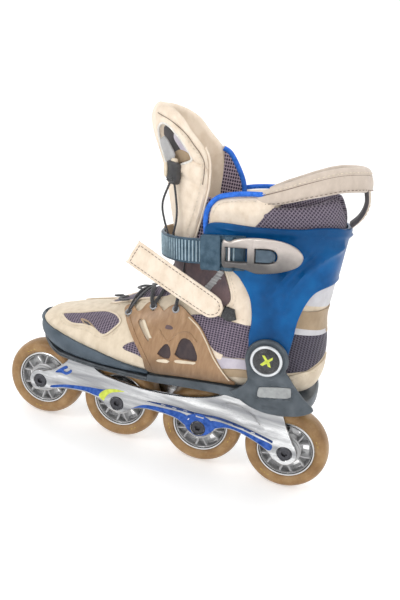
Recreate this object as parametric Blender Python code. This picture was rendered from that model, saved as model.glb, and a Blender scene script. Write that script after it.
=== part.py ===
"""A left inline skate: four wheels on an aluminium frame, a soft boot, and a hinged cuff with a buckle.

Toe towards -X, heel towards +X, the buckle side towards -Y, +Z up, wheels standing on z = 0.
The figures below are in millimetres; mesh_object turns them into metres.
"""
import math

import bmesh
import bpy
from mathutils import Vector

MM = 0.001
GAP = 0.3                       # air between pieces that touch

# Wheels
WHEEL_R = 39.0                  # 80 mm wheels, worn by a millimetre
WHEEL_HALF_WIDTH = 12.0
WHEEL_PITCH = 83.0
WHEEL_X = [(i - 1.5) * WHEEL_PITCH for i in range(4)]
AXLE_Z = WHEEL_R
HUB_R = 27.0
RIM_R = 23.5
CORE_R = 14.5
BEARING_R = 11.0
BEARING_WIDTH = 7.0
AXLE_R = 4.0
SPOKES = 6

# Frame
FRAME_INNER = 13.2
FRAME_OUTER = 16.2
BOSS_R = 11.5
BOSS_OUTER = 18.0
BOLT_HEAD_R = 6.4
BOLT_RECESS = 3.0
MOUNT_X = (-WHEEL_PITCH, WHEEL_PITCH)
FRONT_DECK_Z = 81.2
REAR_DECK_Z = 84.0
DECK_UNDER_Z = 69.0

# Boot
BOOT_WALL = 5.0
RING_POINTS = 20
HEEL_SEAT_Z = 106.0

# Cuff and its pivot
PIVOT = (93.0, 135.0)           # x, z of the ankle hinge, which runs along Y
DISC_R = 18.5
CUFF_WALL = 2.8
EAR_INNER = 44.1
EAR_OUTER = 47.0
RIVET_R = 4.5
RIVET_CAP_R = 13.5

# Buckle, in a plane that rises towards the heel
STRAP_TILT = math.radians(10.0)
STRAP_ROOT = (40.0, 46.0)       # x, y of the strap's fold line on the inner side of the ankle
STRAP_MID_Z = 216.0             # height of the strap's middle at the fold line
STRAP_THICK = 2.0
STRAP_WIDTH = 21.0
LADDER_R = 93.7                 # the ladder strap's radius about its fold line
LADDER_TIP_U = 17.0
BASE_SPAN = (-17.0, 18.0)       # the buckle base's ends along the strap
LEVER_PIN_U = 6.0               # ahead of or behind the fold line, measured along the tilted plane
LEVER_PIN_Y = -51.2
LEVER_PIN_R = 1.2

# Tongue and instep strap
TONGUE_HINGE = (0.0, 206.0)
TOGGLE = (-15.1, -33.7)         # x, y of the lace lock
TOGGLE_MID_Z = 268.0
TOGGLE_FACING = math.radians(60.3)
TOGGLE_LEAN = 0.22
INSTEP_ROOT = (47.0, -46.2, 166.0)
INSTEP_TIP = (-34.0, -51.5, 200.5)

for old in list(bpy.data.objects):
    bpy.data.objects.remove(old, do_unlink=True)


# ---------------------------------------------------------------- tools

def material(name, colour, roughness, metallic=0.0):
    """A Principled material."""
    mat = bpy.data.materials.new(name)
    mat.use_nodes = True
    shader = mat.node_tree.nodes["Principled BSDF"]
    shader.inputs["Base Color"].default_value = (*colour, 1.0)
    shader.inputs["Roughness"].default_value = roughness
    shader.inputs["Metallic"].default_value = metallic
    return mat


def joint_empty(name, place):
    """An empty on a joint's axis, which the pieces of that moving body hang from."""
    empty = bpy.data.objects.new(name, None)
    empty.location = Vector(place) * MM
    bpy.context.collection.objects.link(empty)
    return empty


def mesh_object(name, verts, faces, mat=None, parent=None, smooth=40.0):
    """One closed mesh from points in millimetres. A child's mesh is measured from its empty."""
    start = parent.location if parent else Vector((0, 0, 0))
    mesh = bpy.data.meshes.new(name)
    mesh.from_pydata([Vector(v) * MM - start for v in verts], [], faces)
    bm = bmesh.new()
    bm.from_mesh(mesh)
    bmesh.ops.recalc_face_normals(bm, faces=bm.faces)
    big = [f for f in bm.faces if len(f.verts) > 4]
    bmesh.ops.triangulate(bm, faces=big, ngon_method="EAR_CLIP")
    bm.to_mesh(mesh)
    bm.free()
    mesh.shade_smooth()
    mesh.set_sharp_from_angle(angle=math.radians(smooth))
    obj = bpy.data.objects.new(name, mesh)
    if mat:
        mesh.materials.append(mat)
    obj.parent = parent
    bpy.context.collection.objects.link(obj)
    return obj


def combine(obj, tool, operation):
    """Joins, cuts or intersects an object with a tool that isn't itself part of the skate."""
    tool.hide_render = True
    tool.display_type = "WIRE"
    mod = obj.modifiers.new(operation.lower(), "BOOLEAN")
    mod.operation = operation
    mod.object = tool
    return obj


def loft(name, rings, mat=None, parent=None, smooth=40.0):
    """A solid through closed rings of equal length, capped at both ends."""
    count = len(rings[0])
    verts = [p for ring in rings for p in ring]
    faces = [list(range(count)), list(range(len(verts) - count, len(verts)))]
    for i in range(len(rings) - 1):
        for k in range(count):
            a = i * count + k
            b = i * count + (k + 1) % count
            faces.append([a, b, b + count, a + count])
    return mesh_object(name, verts, faces, mat, parent, smooth)


def prism(name, outline, y0, y1, mat=None, parent=None):
    """An outline in X and Z carried from y0 to y1."""
    return loft(name, [[(x, y, z) for x, z in outline] for y in (y0, y1)], mat, parent, 30.0)


def turned(name, profile, segments, mat=None, parent=None, centre=(0.0, 0.0), closed=True):
    """A profile of (radius, y) turned about a line along Y. An open profile starts and ends on that line."""
    cx, cz = centre
    verts = []
    rows = []
    for r, y in profile:
        if r == 0.0:
            rows.append([len(verts)] * segments)
            verts.append((cx, y, cz))
            continue
        rows.append(list(range(len(verts), len(verts) + segments)))
        for k in range(segments):
            a = 2 * math.pi * (k + 0.5) / segments
            verts.append((cx + r * math.cos(a), y, cz + r * math.sin(a)))
    faces = []
    pairs = list(zip(rows, rows[1:]))
    if closed:
        pairs.append((rows[-1], rows[0]))
    for low, high in pairs:
        for k in range(segments):
            n = (k + 1) % segments
            corner = [low[k], low[n], high[n], high[k]]
            faces.append(list(dict.fromkeys(corner)))
    return mesh_object(name, verts, faces, mat, parent)


def arc(cx, cz, r, start, stop, steps):
    """Points on a circle in X and Z, angles in degrees."""
    out = []
    for i in range(steps + 1):
        a = math.radians(start + (stop - start) * i / steps)
        out.append((cx + r * math.cos(a), cz + r * math.sin(a)))
    return out


def power(value, exponent):
    """A signed power, for rings between an ellipse and a rectangle."""
    return math.copysign(abs(value) ** (2.0 / exponent), value)


def smooth_line(points, steps):
    """A Catmull-Rom curve through points, with steps pieces between each two."""
    pts = [Vector(p) for p in points]
    pts = [2 * pts[0] - pts[1]] + pts + [2 * pts[-1] - pts[-2]]
    out = []
    for i in range(1, len(pts) - 2):
        for s in range(steps):
            t = s / steps
            a, b, c, d = pts[i - 1:i + 3]
            out.append(0.5 * (2 * b + (c - a) * t + (2 * a - 5 * b + 4 * c - d) * t * t
                              + (3 * b - a - 3 * c + d) * t ** 3))
    return out + [pts[-2]]


def tube(name, points, radius, mat, parent=None):
    """A round cord on a poly spline."""
    start = parent.location if parent else Vector((0, 0, 0))
    curve = bpy.data.curves.new(name, "CURVE")
    curve.dimensions = "3D"
    curve.bevel_depth = radius * MM
    curve.bevel_resolution = 1
    curve.use_fill_caps = True
    spline = curve.splines.new("POLY")
    spline.points.add(len(points) - 1)
    for point, place in zip(spline.points, points):
        point.co = (*(Vector(place) * MM - start), 1.0)
    curve.materials.append(mat)
    obj = bpy.data.objects.new(name, curve)
    obj.parent = parent
    bpy.context.collection.objects.link(obj)
    return obj


SILVER = material("polished_aluminium", (0.78, 0.79, 0.81), 0.25, 1.0)
STEEL = material("steel", (0.62, 0.62, 0.63), 0.3, 1.0)
AMBER = material("amber_urethane", (0.55, 0.30, 0.12), 0.4)
HUB_GREY = material("hub_grey", (0.62, 0.62, 0.62), 0.4, 0.3)
CHARCOAL = material("charcoal_plastic", (0.035, 0.05, 0.065), 0.45)
RAND_BLUE = material("blue_grey_rubber", (0.07, 0.13, 0.18), 0.6)
SUEDE = material("beige_suede", (0.74, 0.62, 0.46), 0.9)
PAD_GREY = material("padded_grey_beige", (0.58, 0.50, 0.43), 0.9)
MESH_PURPLE = material("purple_mesh", (0.22, 0.18, 0.25), 0.9)
TAN = material("tan_plastic", (0.32, 0.19, 0.10), 0.4)
CUFF_BLUE = material("cuff_blue", (0.01, 0.09, 0.27), 0.4)
LADDER_BLUE = material("ladder_blue_grey", (0.08, 0.16, 0.25), 0.45)
LEVER_SILVER = material("lever_silver", (0.55, 0.52, 0.48), 0.4, 0.4)
BLACK = material("black", (0.015, 0.015, 0.018), 0.6)


# ---------------------------------------------------------------- foot form

# Each section runs from a point on the sole or the back (x, z) to one on the instep (x, z). Then come its
# half widths on the buckle side and the inner side, the height of the widest place as a share, and how
# square its lower and upper halves are.
FOOT = [
    ((-130.0, 101.0), (-130.0, 107.5), 9.0, 10.0, 0.5, 2.4, 2.2),
    ((-123.0, 95.5), (-124.5, 114.5), 22.0, 25.0, 0.42, 3.0, 2.2),
    ((-110.0, 90.5), (-112.0, 119.5), 32.0, 36.0, 0.40, 3.6, 2.2),
    ((-90.0, 87.0), (-92.0, 126.0), 39.0, 44.5, 0.38, 4.2, 2.2),
    ((-63.0, 86.8), (-66.0, 134.0), 43.0, 48.5, 0.36, 4.5, 2.1),
    ((-38.0, 87.0), (-46.0, 145.0), 43.5, 47.5, 0.34, 4.5, 2.1),
    ((-8.0, 88.3), (-31.0, 154.5), 42.5, 43.5, 0.34, 4.2, 2.1),
    ((32.0, 91.5), (-20.0, 161.0), 40.5, 40.0, 0.36, 3.6, 2.1),
    ((78.0, 94.8), (-12.0, 166.0), 39.0, 38.5, 0.40, 3.2, 2.2),
    ((112.0, 98.5), (-6.0, 169.5), 38.3, 38.3, 0.42, 2.8, 2.3),
    ((131.0, 106.0), (-2.0, 172.0), 38.0, 38.0, 0.44, 2.5, 2.4),
    ((138.0, 123.0), (2.0, 174.0), 38.0, 38.0, 0.46, 2.4, 2.4),
    ((136.0, 149.0), (7.0, 176.0), 38.3, 38.3, 0.48, 2.4, 2.4),
    ((130.0, 172.0), (12.0, 178.0), 38.3, 38.3, 0.50, 2.4, 2.4),
]


def foot_ring(section, grow):
    """One closed ring of the foot form, grown outwards in its own plane."""
    (bx, bz), (tx, tz), outer, inner, share, low, high = section
    base = Vector((bx, bz))
    up = Vector((tx, tz)) - base
    height = up.length
    up.normalize()
    centre = base + up * height * share
    ring = []
    for k in range(RING_POINTS):
        a = 2 * math.pi * k / RING_POINTS
        square = high if math.sin(a) >= 0 else low
        reach = height * ((1 - share) if math.sin(a) >= 0 else share) + grow
        wide = (inner if math.cos(a) >= 0 else outer) + grow
        p = centre + up * power(math.sin(a), square) * reach
        ring.append((p.x, power(math.cos(a), square) * wide, p.y))
    return ring


def foot_form(name, grow, top=0.0, first=0, mat=None):
    """The foot as a solid, grown by a margin and carried past its opening by top."""
    rings = [foot_ring(s, grow) for s in FOOT[first:]]
    if grow > 0:
        rings[0] = [(x - grow, y, z) for x, y, z in rings[0]]
    if top:
        rings.append([(x - 0.1 * top, y, z + top) for x, y, z in rings[-1]])
    return loft(name, rings, mat)


def side_slab(name, outline, inner_side):
    """A cutter that keeps one side of the foot within an outline."""
    y0, y1 = (6.0, 70.0) if inner_side else (-70.0, -6.0)
    return prism(name, outline, y0, y1)


# ---------------------------------------------------------------- wheels

def build_wheels():
    tyre_profile = [(HUB_R + GAP, -9.5), (31.0, -WHEEL_HALF_WIDTH), (36.0, -10.5), (38.4, -6.0),
                    (WHEEL_R, 0.0),
                    (38.4, 6.0), (36.0, 10.5), (31.0, WHEEL_HALF_WIDTH), (HUB_R + GAP, 9.5)]
    hub_profile = [(BEARING_R + GAP, -12.0), (CORE_R, -12.0), (CORE_R, -3.5), (RIM_R, -3.5), (HUB_R, -9.0),
                   (HUB_R, 9.0), (RIM_R, 3.5), (CORE_R, 3.5), (CORE_R, 12.0), (BEARING_R + GAP, 12.0)]
    tyre = hub = bearing = spacer = None
    for i, x in enumerate(WHEEL_X, 1):
        place = (x * MM, 0.0, AXLE_Z * MM)
        pieces = []
        if i == 1:
            tyre = turned("tyre_1", tyre_profile, 30, AMBER)
            hub = turned("hub_1", hub_profile, 24, HUB_GREY)
            for s in range(SPOKES):
                a = 360.0 * s / SPOKES
                window = arc(0, 0, RIM_R - 1.0, a + 11, a + 49, 2) + arc(0, 0, CORE_R + 1.8, a + 46, a + 14,
                                                                         1)
                combine(hub, prism(f"spoke_window_{s}", window, -6.0, 6.0), "DIFFERENCE")
            bpy.context.view_layer.update()
            cut = hub.evaluated_get(bpy.context.evaluated_depsgraph_get())
            hub_mesh = bpy.data.meshes.new_from_object(cut)
            hub.modifiers.clear()
            hub.data = hub_mesh
            bearing = turned("bearing_outer_side_1", [(AXLE_R + GAP, -0.5 * BEARING_WIDTH),
                             (BEARING_R, -0.5 * BEARING_WIDTH), (BEARING_R, 0.5 * BEARING_WIDTH),
                             (AXLE_R + GAP, 0.5 * BEARING_WIDTH)], 16, STEEL)
            spacer = turned("spacer_1", [(AXLE_R + GAP, -4.8), (5.6, -4.8), (5.6, 4.8), (AXLE_R + GAP, 4.8)],
                            12, SILVER)
            pieces = [tyre, hub, spacer]
            bearings = [bearing, copy_of(bearing, "bearing_inner_side_1")]
        else:
            pieces = [copy_of(tyre, f"tyre_{i}"), copy_of(hub, f"hub_{i}"), copy_of(spacer, f"spacer_{i}")]
            bearings = [copy_of(bearing, f"bearing_{side}_side_{i}") for side in ("outer", "inner")]
        for obj in pieces + bearings:
            obj.location = place
        for obj, side in zip(bearings, (-1, 1)):
            obj.location.y = side * (5.1 + 0.5 * BEARING_WIDTH) * MM


def copy_of(obj, name):
    """Another object with the same mesh."""
    twin = bpy.data.objects.new(name, obj.data)
    bpy.context.collection.objects.link(twin)
    return twin


def build_axles():
    """A screw through each wheel, its head in the frame's buckle-side boss."""
    seat = -(BOSS_OUTER - BOLT_RECESS)
    for i, x in enumerate(WHEEL_X, 1):
        profile = [(0.0, BOSS_OUTER - 0.5), (AXLE_R - 1.0, BOSS_OUTER - 0.5), (AXLE_R, BOSS_OUTER - 1.5),
                   (AXLE_R, seat - GAP), (BOLT_HEAD_R, seat - GAP), (BOLT_HEAD_R, seat - 1.9),
                   (BOLT_HEAD_R - 0.7, seat - 2.5), (3.0, seat - 2.5), (3.0, seat - 0.6), (0.0, seat - 0.6)]
        turned(f"axle_{i}", profile, 12, STEEL, None, (x, AXLE_Z), closed=False)


# ---------------------------------------------------------------- frame

def frame_outline():
    """The side plate, from the front boss along the top to the rear boss and back along the bottom."""
    x1, x2, x3, x4 = WHEEL_X
    top = arc(x1, AXLE_Z, BOSS_R, 250, 70, 7)
    top += [(-110.0, 55.0), (-100.0, 66.5), (-94.0, 75.0), (-73.0, 75.0), (-68.0, 66.5), (-57.0, 63.5),
            (-26.0, 62.0), (-8.0, 62.3), (20.0, 65.5), (38.0, 70.0), (52.0, 75.5), (66.0, REAR_DECK_Z),
            (112.0, REAR_DECK_Z), (120.0, 66.0), (127.0, 53.0)]
    bottom = arc(x4, AXLE_Z, BOSS_R, 50, -100, 6)
    bottom += [(107.0, 37.0), (81.0, 45.5), (67.0, 46.5), (57.0, 39.5)] + arc(x3, AXLE_Z, 9.5, -30, -150, 4)
    bottom += [(26.0, 36.5), (8.0, 41.5), (-10.0, 41.5), (-25.0, 36.5)] + arc(x2, AXLE_Z, 9.5, -30, -150, 4)
    bottom += [(-57.0, 35.5), (-76.0, 40.0), (-98.0, 37.0)]
    return top + bottom


def build_frame():
    frame = prism("frame", frame_outline(), -FRAME_OUTER, FRAME_OUTER, SILVER)
    for i, x in enumerate(WHEEL_X, 1):
        boss = turned(f"frame_boss_{i}", [(0.0, -BOSS_OUTER), (BOSS_R - 2.5, -BOSS_OUTER),
                                          (BOSS_R - 0.8, -FRAME_OUTER),
                      (BOSS_R - 0.8, FRAME_OUTER), (BOSS_R - 2.5, BOSS_OUTER), (0.0, BOSS_OUTER)],
                      16, None, None, (x, AXLE_Z), closed=False)
        combine(frame, boss, "UNION")
    decks = [(-95.0, -71.0, FRONT_DECK_Z), (66.5, 100.0, REAR_DECK_Z)]
    for i, (x0, x1, z) in enumerate(decks, 1):
        block = prism(f"deck_block_{i}", [(x0, DECK_UNDER_Z), (x1, DECK_UNDER_Z), (x1, z), (x0, z)],
                      -FRAME_OUTER - 0.001, FRAME_OUTER + 0.001)
        combine(frame, block, "UNION")
    channel = [(-150.0, 20.0), (150.0, 20.0), (150.0, 95.0), (100.5, 95.0), (100.5, 81.0),
               (96.0, DECK_UNDER_Z),
               (70.0, DECK_UNDER_Z), (66.0, 81.5), (66.0, 95.0), (-70.5, 95.0), (-70.5, DECK_UNDER_Z + 4),
               (-74.0, DECK_UNDER_Z), (-92.0, DECK_UNDER_Z), (-95.5, DECK_UNDER_Z + 4), (-95.5, 95.0),
               (-150.0, 95.0)]
    combine(frame, prism("wheel_channel", channel, -FRAME_INNER, FRAME_INNER), "DIFFERENCE")
    for i, x in enumerate(WHEEL_X, 1):
        seat = -(BOSS_OUTER - BOLT_RECESS)
        hole = turned(f"axle_hole_{i}", [(0.0, 25.0), (AXLE_R + GAP, 25.0), (AXLE_R + GAP, seat),
                      (BOLT_HEAD_R + GAP, seat), (BOLT_HEAD_R + GAP, -25.0), (0.0, -25.0)],
                      12, None, None, (x, AXLE_Z), closed=False)
        combine(frame, hole, "DIFFERENCE")
    for i, x in enumerate(MOUNT_X, 1):
        combine(frame, upright(f"mount_hole_{i}", x, [(3.3, 60.0), (3.3, 95.0)]), "DIFFERENCE")


def upright(name, x, profile, mat=None):
    """A round piece about a vertical line at x, from (radius, z) pairs in rising order."""
    rings = []
    for r, z in profile:
        rings.append([(x + r * math.cos(math.pi * k / 6), r * math.sin(math.pi * k / 6),
                       z) for k in range(12)])
    return loft(name, rings, mat)


def build_mount_bolts():
    """The two screws that hold the frame to the sole, heads under the decks."""
    for name, x, top in (("front_mount_bolt", MOUNT_X[0], 84.5), ("rear_mount_bolt", MOUNT_X[1], 91.0)):
        head = DECK_UNDER_Z - GAP
        upright(name, x, [(3.6, head - 5.0), (5.0, head - 4.4), (5.0, head - 0.001), (3.0, head),
                          (3.0, top)], STEEL)


# ---------------------------------------------------------------- sole and boot

def sole_z(x):
    """The underside of the sole."""
    line = [(-140.0, 101.0), (-133.0, 96.0), (-120.0, 88.5), (-105.0, 83.5), (-96.0, FRONT_DECK_Z + GAP),
            (-50.0, FRONT_DECK_Z + GAP), (0.0, 83.0), (32.0, 86.0), (66.0, 89.0)]
    for (x0, z0), (x1, z1) in zip(line, line[1:]):
        if x <= x1:
            return z0 + (z1 - z0) * (x - x0) / (x1 - x0)
    return line[-1][1]


def sole_section(x, half_outer, half_inner, low, high):
    """A flat sole section with rounded lower edges."""
    r = 2.5
    return [(x, -half_outer, high), (x, -half_outer, low + r), (x, -half_outer + r, low),
            (x, half_inner - r, low),
            (x, half_inner, low + r), (x, half_inner, high)]


def build_toe_rand():
    """The rubber toe and front sole: a skin round the foot form on top of a flat sole."""
    rand = foot_form("toe_rand", 3.3, mat=RAND_BLUE)
    stations = [(-126.0, 16.0, 18.0), (-118.0, 26.0, 29.0), (-105.0, 36.0, 40.0), (-88.0, 41.0, 46.5),
                (-63.0, 43.5, 49.0), (-40.0, 43.5, 47.5), (-5.0, 42.0, 43.0)]
    sole = [sole_section(x, a, b, sole_z(x), sole_z(x) + 6.5) for x, a, b in stations]
    combine(rand, loft("toe_sole", sole), "UNION")
    edge = [(-150.0, 70.0), (-8.3, 70.0), (-8.3, 92.5), (-32.0, 96.0), (-52.0, 100.0), (-74.0, 103.0),
            (-100.0, 106.0), (-118.0, 107.5), (-150.0, 111.0)]
    combine(rand, prism("rand_edge", edge, -70.0, 70.0), "INTERSECT")
    combine(rand, foot_form("foot_in_rand", 0.4, 20.0), "DIFFERENCE")
    combine(rand, upright("rand_bolt_hole", MOUNT_X[0], [(3.3, 70.0), (3.3, 85.0)]), "DIFFERENCE")


def ear_outline():
    """The chassis ear round the ankle hinge."""
    px, pz = PIVOT
    return (arc(px, pz, DISC_R, 215, -5, 14)
            + [(119.0, 124.0), (126.0, 114.0), (139.0, 104.5), (139.0, 100.0), (120.0, 92.0), (84.0, 92.0),
               (71.0, 97.0), (78.5, 106.0), (80.0, 116.0)])


def build_chassis():
    """The stiff sole plate, the heel cup and the two ears that carry the cuff."""
    bowl = []
    for z, x0, x1, half, square in ((75.5, 94.0, 121.0, 20.0, 2.6), (84.0, 74.0, 133.0, 33.0, 2.8),
                                    (92.0, 66.0, 138.0, 43.0, 3.0), (98.0, 68.0, 140.0, 46.4, 3.0),
                                    (103.0, 74.0, 139.0, 46.6, 3.0)):
        ring = []
        for k in range(RING_POINTS):
            a = 2 * math.pi * k / RING_POINTS
            ring.append((0.5 * (x0 + x1) + 0.5 * (x1 - x0) * power(math.cos(a), square),
                         half * power(math.sin(a), square), z))
        bowl.append(ring)
    chassis = loft("chassis", bowl, CHARCOAL)
    plate = [sole_section(x, a, a, sole_z(x), sole_z(x) + 9.0)
             for x, a in ((-7.9, 42.0), (20.0, 39.0), (50.0, 38.0), (80.0, 38.0))]
    combine(chassis, loft("arch_plate", plate), "UNION")
    for side in (-1, 1):
        y0, y1 = sorted((side * EAR_INNER, side * EAR_OUTER))
        combine(chassis, prism(f"ear_{side}", ear_outline(), y0, y1), "UNION")
    combine(chassis, foot_form("foot_in_chassis", 0.4, 20.0), "DIFFERENCE")
    step = FRAME_OUTER + 0.5
    channel = [(-20.0, 60.0), (150.0, 60.0), (150.0, REAR_DECK_Z + GAP), (60.0, REAR_DECK_Z + GAP),
               (-20.0, 78.0)]
    combine(chassis, prism("frame_channel", channel, -step, step), "DIFFERENCE")
    combine(chassis, turned("ear_hole", [(0.0, -60.0), (RIVET_R + GAP, -60.0), (RIVET_R + GAP, 60.0),
                                         (0.0, 60.0)],
                            12, None, None, PIVOT, closed=False), "DIFFERENCE")
    combine(chassis, upright("chassis_bolt_hole", MOUNT_X[1], [(3.3, 80.0), (3.3, 91.3)]), "DIFFERENCE")


def build_boot():
    """The boot's foot, open at the ankle, and the footbed in it."""
    boot = foot_form("boot_upper", 0.0, mat=SUEDE)
    combine(boot, foot_form("foot_space", -BOOT_WALL, 30.0, 2), "DIFFERENCE")
    footbed = foot_form("footbed", -BOOT_WALL - 0.9, 30.0, 2, BLACK)
    level = [(-125.0, 80.0), (-125.0, 100.5), (-105.0, 98.5), (-60.0, 96.5), (-20.0, 97.5), (20.0, 101.0),
             (55.0, HEEL_SEAT_Z), (150.0, HEEL_SEAT_Z), (150.0, 80.0)]
    combine(footbed, prism("footbed_level", level, -60.0, 60.0), "INTERSECT")


def build_cages():
    """The translucent side cages over the foot, open in two windows and a slot."""
    outline = [(-38.0, 139.0), (-34.0, 131.0), (-25.0, 120.0), (-16.0, 108.0), (-5.0, 97.0), (23.0, 98.0),
               (54.0, 101.0), (68.0, 102.5), (62.0, 108.0), (49.0, 123.0), (40.0, 136.0), (31.0, 146.0),
               (20.0, 153.0), (9.0, 158.0), (0.0, 157.0), (-6.0, 150.0), (-14.0, 154.0), (-24.0, 151.0),
               (-27.0, 143.0), (-36.0, 146.0), (-43.0, 142.0)]
    windows = [[(-2.0, 110.0), (10.0, 113.0), (9.0, 122.0), (4.0, 124.0)],
               [(14.0, 115.0), (34.0, 118.0), (30.0, 129.0), (22.0, 134.0), (15.0, 128.0)],
               [(-24.0, 136.0), (-20.5, 138.5), (-9.0, 125.0), (-12.0, 122.5)]]
    for inner_side in (False, True):
        word = "inner" if inner_side else "outer"
        cage = foot_form(f"side_cage_{word}", 2.2, 20.0, mat=TAN)
        combine(cage, side_slab(f"cage_shape_{word}", outline, inner_side), "INTERSECT")
        combine(cage, foot_form(f"foot_in_cage_{word}", 0.5, 40.0), "DIFFERENCE")
        for i, window in enumerate(windows, 1):
            combine(cage, side_slab(f"cage_window_{word}_{i}", window, inner_side), "DIFFERENCE")


# ---------------------------------------------------------------- ankle

# Height, back edge, half width and squareness of the cuff's outside.
SHAFT = [(112.0, 127.0, 43.6, 6.0), (150.0, 130.0, 43.6, 5.0), (180.0, 131.0, 43.4, 3.8),
         (205.0, 132.0, 43.0, 3.0),
         (235.0, 132.5, 42.5, 2.7), (262.0, 133.0, 42.0, 2.6), (285.0, 131.0, 41.0, 2.6)]
SHAFT_FRONT = -20.0


def shaft_form(name, shrink, low=0.0, high=400.0, mat=None, parent=None):
    """The ankle as a solid, shrunk by a margin, ending at the given heights past the table."""
    rings = []
    for z, back, half, square in SHAFT:
        if not low <= z <= high:
            continue
        middle = 0.5 * (SHAFT_FRONT + back)
        ring = []
        for k in range(28):
            a = 2 * math.pi * k / 28
            ring.append((middle + (back - middle - shrink) * power(math.cos(a), square),
                         (half - shrink) * power(math.sin(a), square), z))
        rings.append(ring)
    for index, shift in ((0, -8.0), (-1, 8.0)):
        if shrink > 5.0 or index == 0:
            rings[index] = [(x, y, z + shift) for x, y, z in rings[index]]
    return loft(name, rings, mat, parent)


def build_cuff(body):
    cuff = shaft_form("cuff", 0.0, mat=CUFF_BLUE, parent=body)
    px, pz = PIVOT
    shape = [(24.0, 236.0), (63.0, 241.0), (96.0, 246.0), (110.0, 249.5), (124.0, 251.0), (140.0, 250.0),
             (140.0, 205.0), (128.0, 203.0), (119.0, 198.0), (113.5, 188.0), (110.5, 174.0), (110.0, 160.0)]
    shape += arc(px, pz, 15.5, 0, -170, 8)
    shape += [(73.5, 150.0), (73.5, 162.0), (71.5, 174.0), (67.0, 185.0), (58.0, 196.0), (50.0, 201.5),
              (42.0, 204.0), (25.0, 204.0), (21.5, 219.0)]
    combine(cuff, prism("cuff_shape", shape, -60.0, 60.0), "INTERSECT")
    combine(cuff, shaft_form("cuff_space", CUFF_WALL, low=0.0), "DIFFERENCE")
    combine(cuff, turned("cuff_hole", [(0.0, -60.0), (RIVET_R + GAP, -60.0), (RIVET_R + GAP, 60.0),
                                       (0.0, 60.0)],
                         12, None, None, PIVOT, closed=False), "DIFFERENCE")


def build_pivot_rivets():
    """The two hinge rivets, each with a wide cap outside and a flat head inside."""
    for word, side in (("outer", -1), ("inner", 1)):
        profile = [(0.0, 38.8), (6.5, 38.8), (6.5, 39.6), (RIVET_R, 39.7), (RIVET_R, EAR_OUTER + GAP),
                   (RIVET_CAP_R, EAR_OUTER + GAP), (RIVET_CAP_R, EAR_OUTER + 1.4),
                   (RIVET_CAP_R - 1.5, EAR_OUTER + 2.2),
                   (0.0, EAR_OUTER + 2.2)]
        turned(f"pivot_rivet_{word}", [(r, side * y) for r, y in profile],
               20, STEEL, None, PIVOT, closed=False)


def build_collar(body):
    collar = shaft_form("liner_collar", CUFF_WALL + 0.5, low=170.0, mat=MESH_PURPLE, parent=body)
    shape = [(41.0, 196.0), (70.0, 188.0), (124.0, 180.0), (140.0, 180.0), (140.0, 250.0), (129.0, 264.0),
             (121.0, 273.0), (108.0, 268.0), (92.0, 262.0), (75.0, 258.5), (61.0, 260.0), (40.0, 258.0),
             (27.0, 253.0), (22.0, 243.0), (24.0, 230.0), (34.0, 212.0)]
    combine(collar, prism("collar_shape", shape, -60.0, 60.0), "INTERSECT")
    combine(collar, shaft_form("leg_space", CUFF_WALL + 7.5, low=150.0), "DIFFERENCE")


def build_heel_loop(body):
    """The padded band round the back, from one side of the collar to the other, and its tie-down tab."""
    route = smooth_line([(58.0, -34.0, 265.5), (75.0, -36.5, 270.5), (95.0, -35.5, 279.0),
                         (115.0, -28.0, 287.0),
                         (131.0, -14.0, 289.5), (136.0, 0.0, 289.0), (131.0, 14.0, 289.5),
                         (115.0, 28.0, 287.0),
                         (95.0, 35.5, 279.0), (75.0, 36.5, 270.5), (58.0, 34.0, 265.5)], 2)
    rings = []
    for i, p in enumerate(route):
        ahead = (route[min(i + 1, len(route) - 1)] - route[max(i - 1, 0)]).normalized()
        side = ahead.cross(Vector((0, 0, 1))).normalized()
        up = side.cross(ahead)
        share = min(i, len(route) - 1 - i) / 4.0
        tall = 5.0 + 4.5 * min(1.0, share)
        ring = []
        for k in range(8):
            a = 2 * math.pi * (k + 0.5) / 8
            ring.append(tuple(p + side * 4.2 * power(math.cos(a), 3) + up * tall * power(math.sin(a), 3)))
        rings.append(ring)
    loft("heel_loop", rings, PAD_GREY, body)
    tab = [(134.0, 279.0), (139.0, 279.0), (139.8, 270.0), (138.0, 261.0), (132.8, 251.6), (129.9, 251.6),
           (134.8, 261.0), (136.6, 270.0)]
    prism("loop_tab", tab, -12.0, 12.0, PAD_GREY, body)


# ---------------------------------------------------------------- buckle

def on_strap(u, y, v):
    """A place from distances along the tilted strap plane, across the boot, and up the strap's width."""
    x = STRAP_ROOT[0] + u * math.cos(STRAP_TILT) - v * math.sin(STRAP_TILT)
    z = STRAP_MID_Z + u * math.sin(STRAP_TILT) + v * math.cos(STRAP_TILT)
    return (x, y, z)


def ladder_y(u):
    """The ladder strap's middle on the buckle side, on an arc about its fold line."""
    return STRAP_ROOT[1] - math.sqrt(LADDER_R ** 2 - u ** 2)


def strap_slab(name, outline, y0, y1, mat=None, parent=None):
    """An outline in the strap plane's u and v, carried from y0 to y1."""
    return loft(name, [[on_strap(u, y, v) for u, v in outline] for y in (y0, y1)], mat, parent, 30.0)


def strap_turned(name, u, y, r, v0, v1, mat=None, parent=None, points=10):
    """A pin across the strap's width."""
    rings = []
    for v in (v0, v1):
        rings.append([on_strap(u + r * math.cos(2 * math.pi * k / points),
                               y + r * math.sin(2 * math.pi * k / points), v)
                      for k in range(points)])
    return loft(name, rings, mat, parent)


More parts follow.
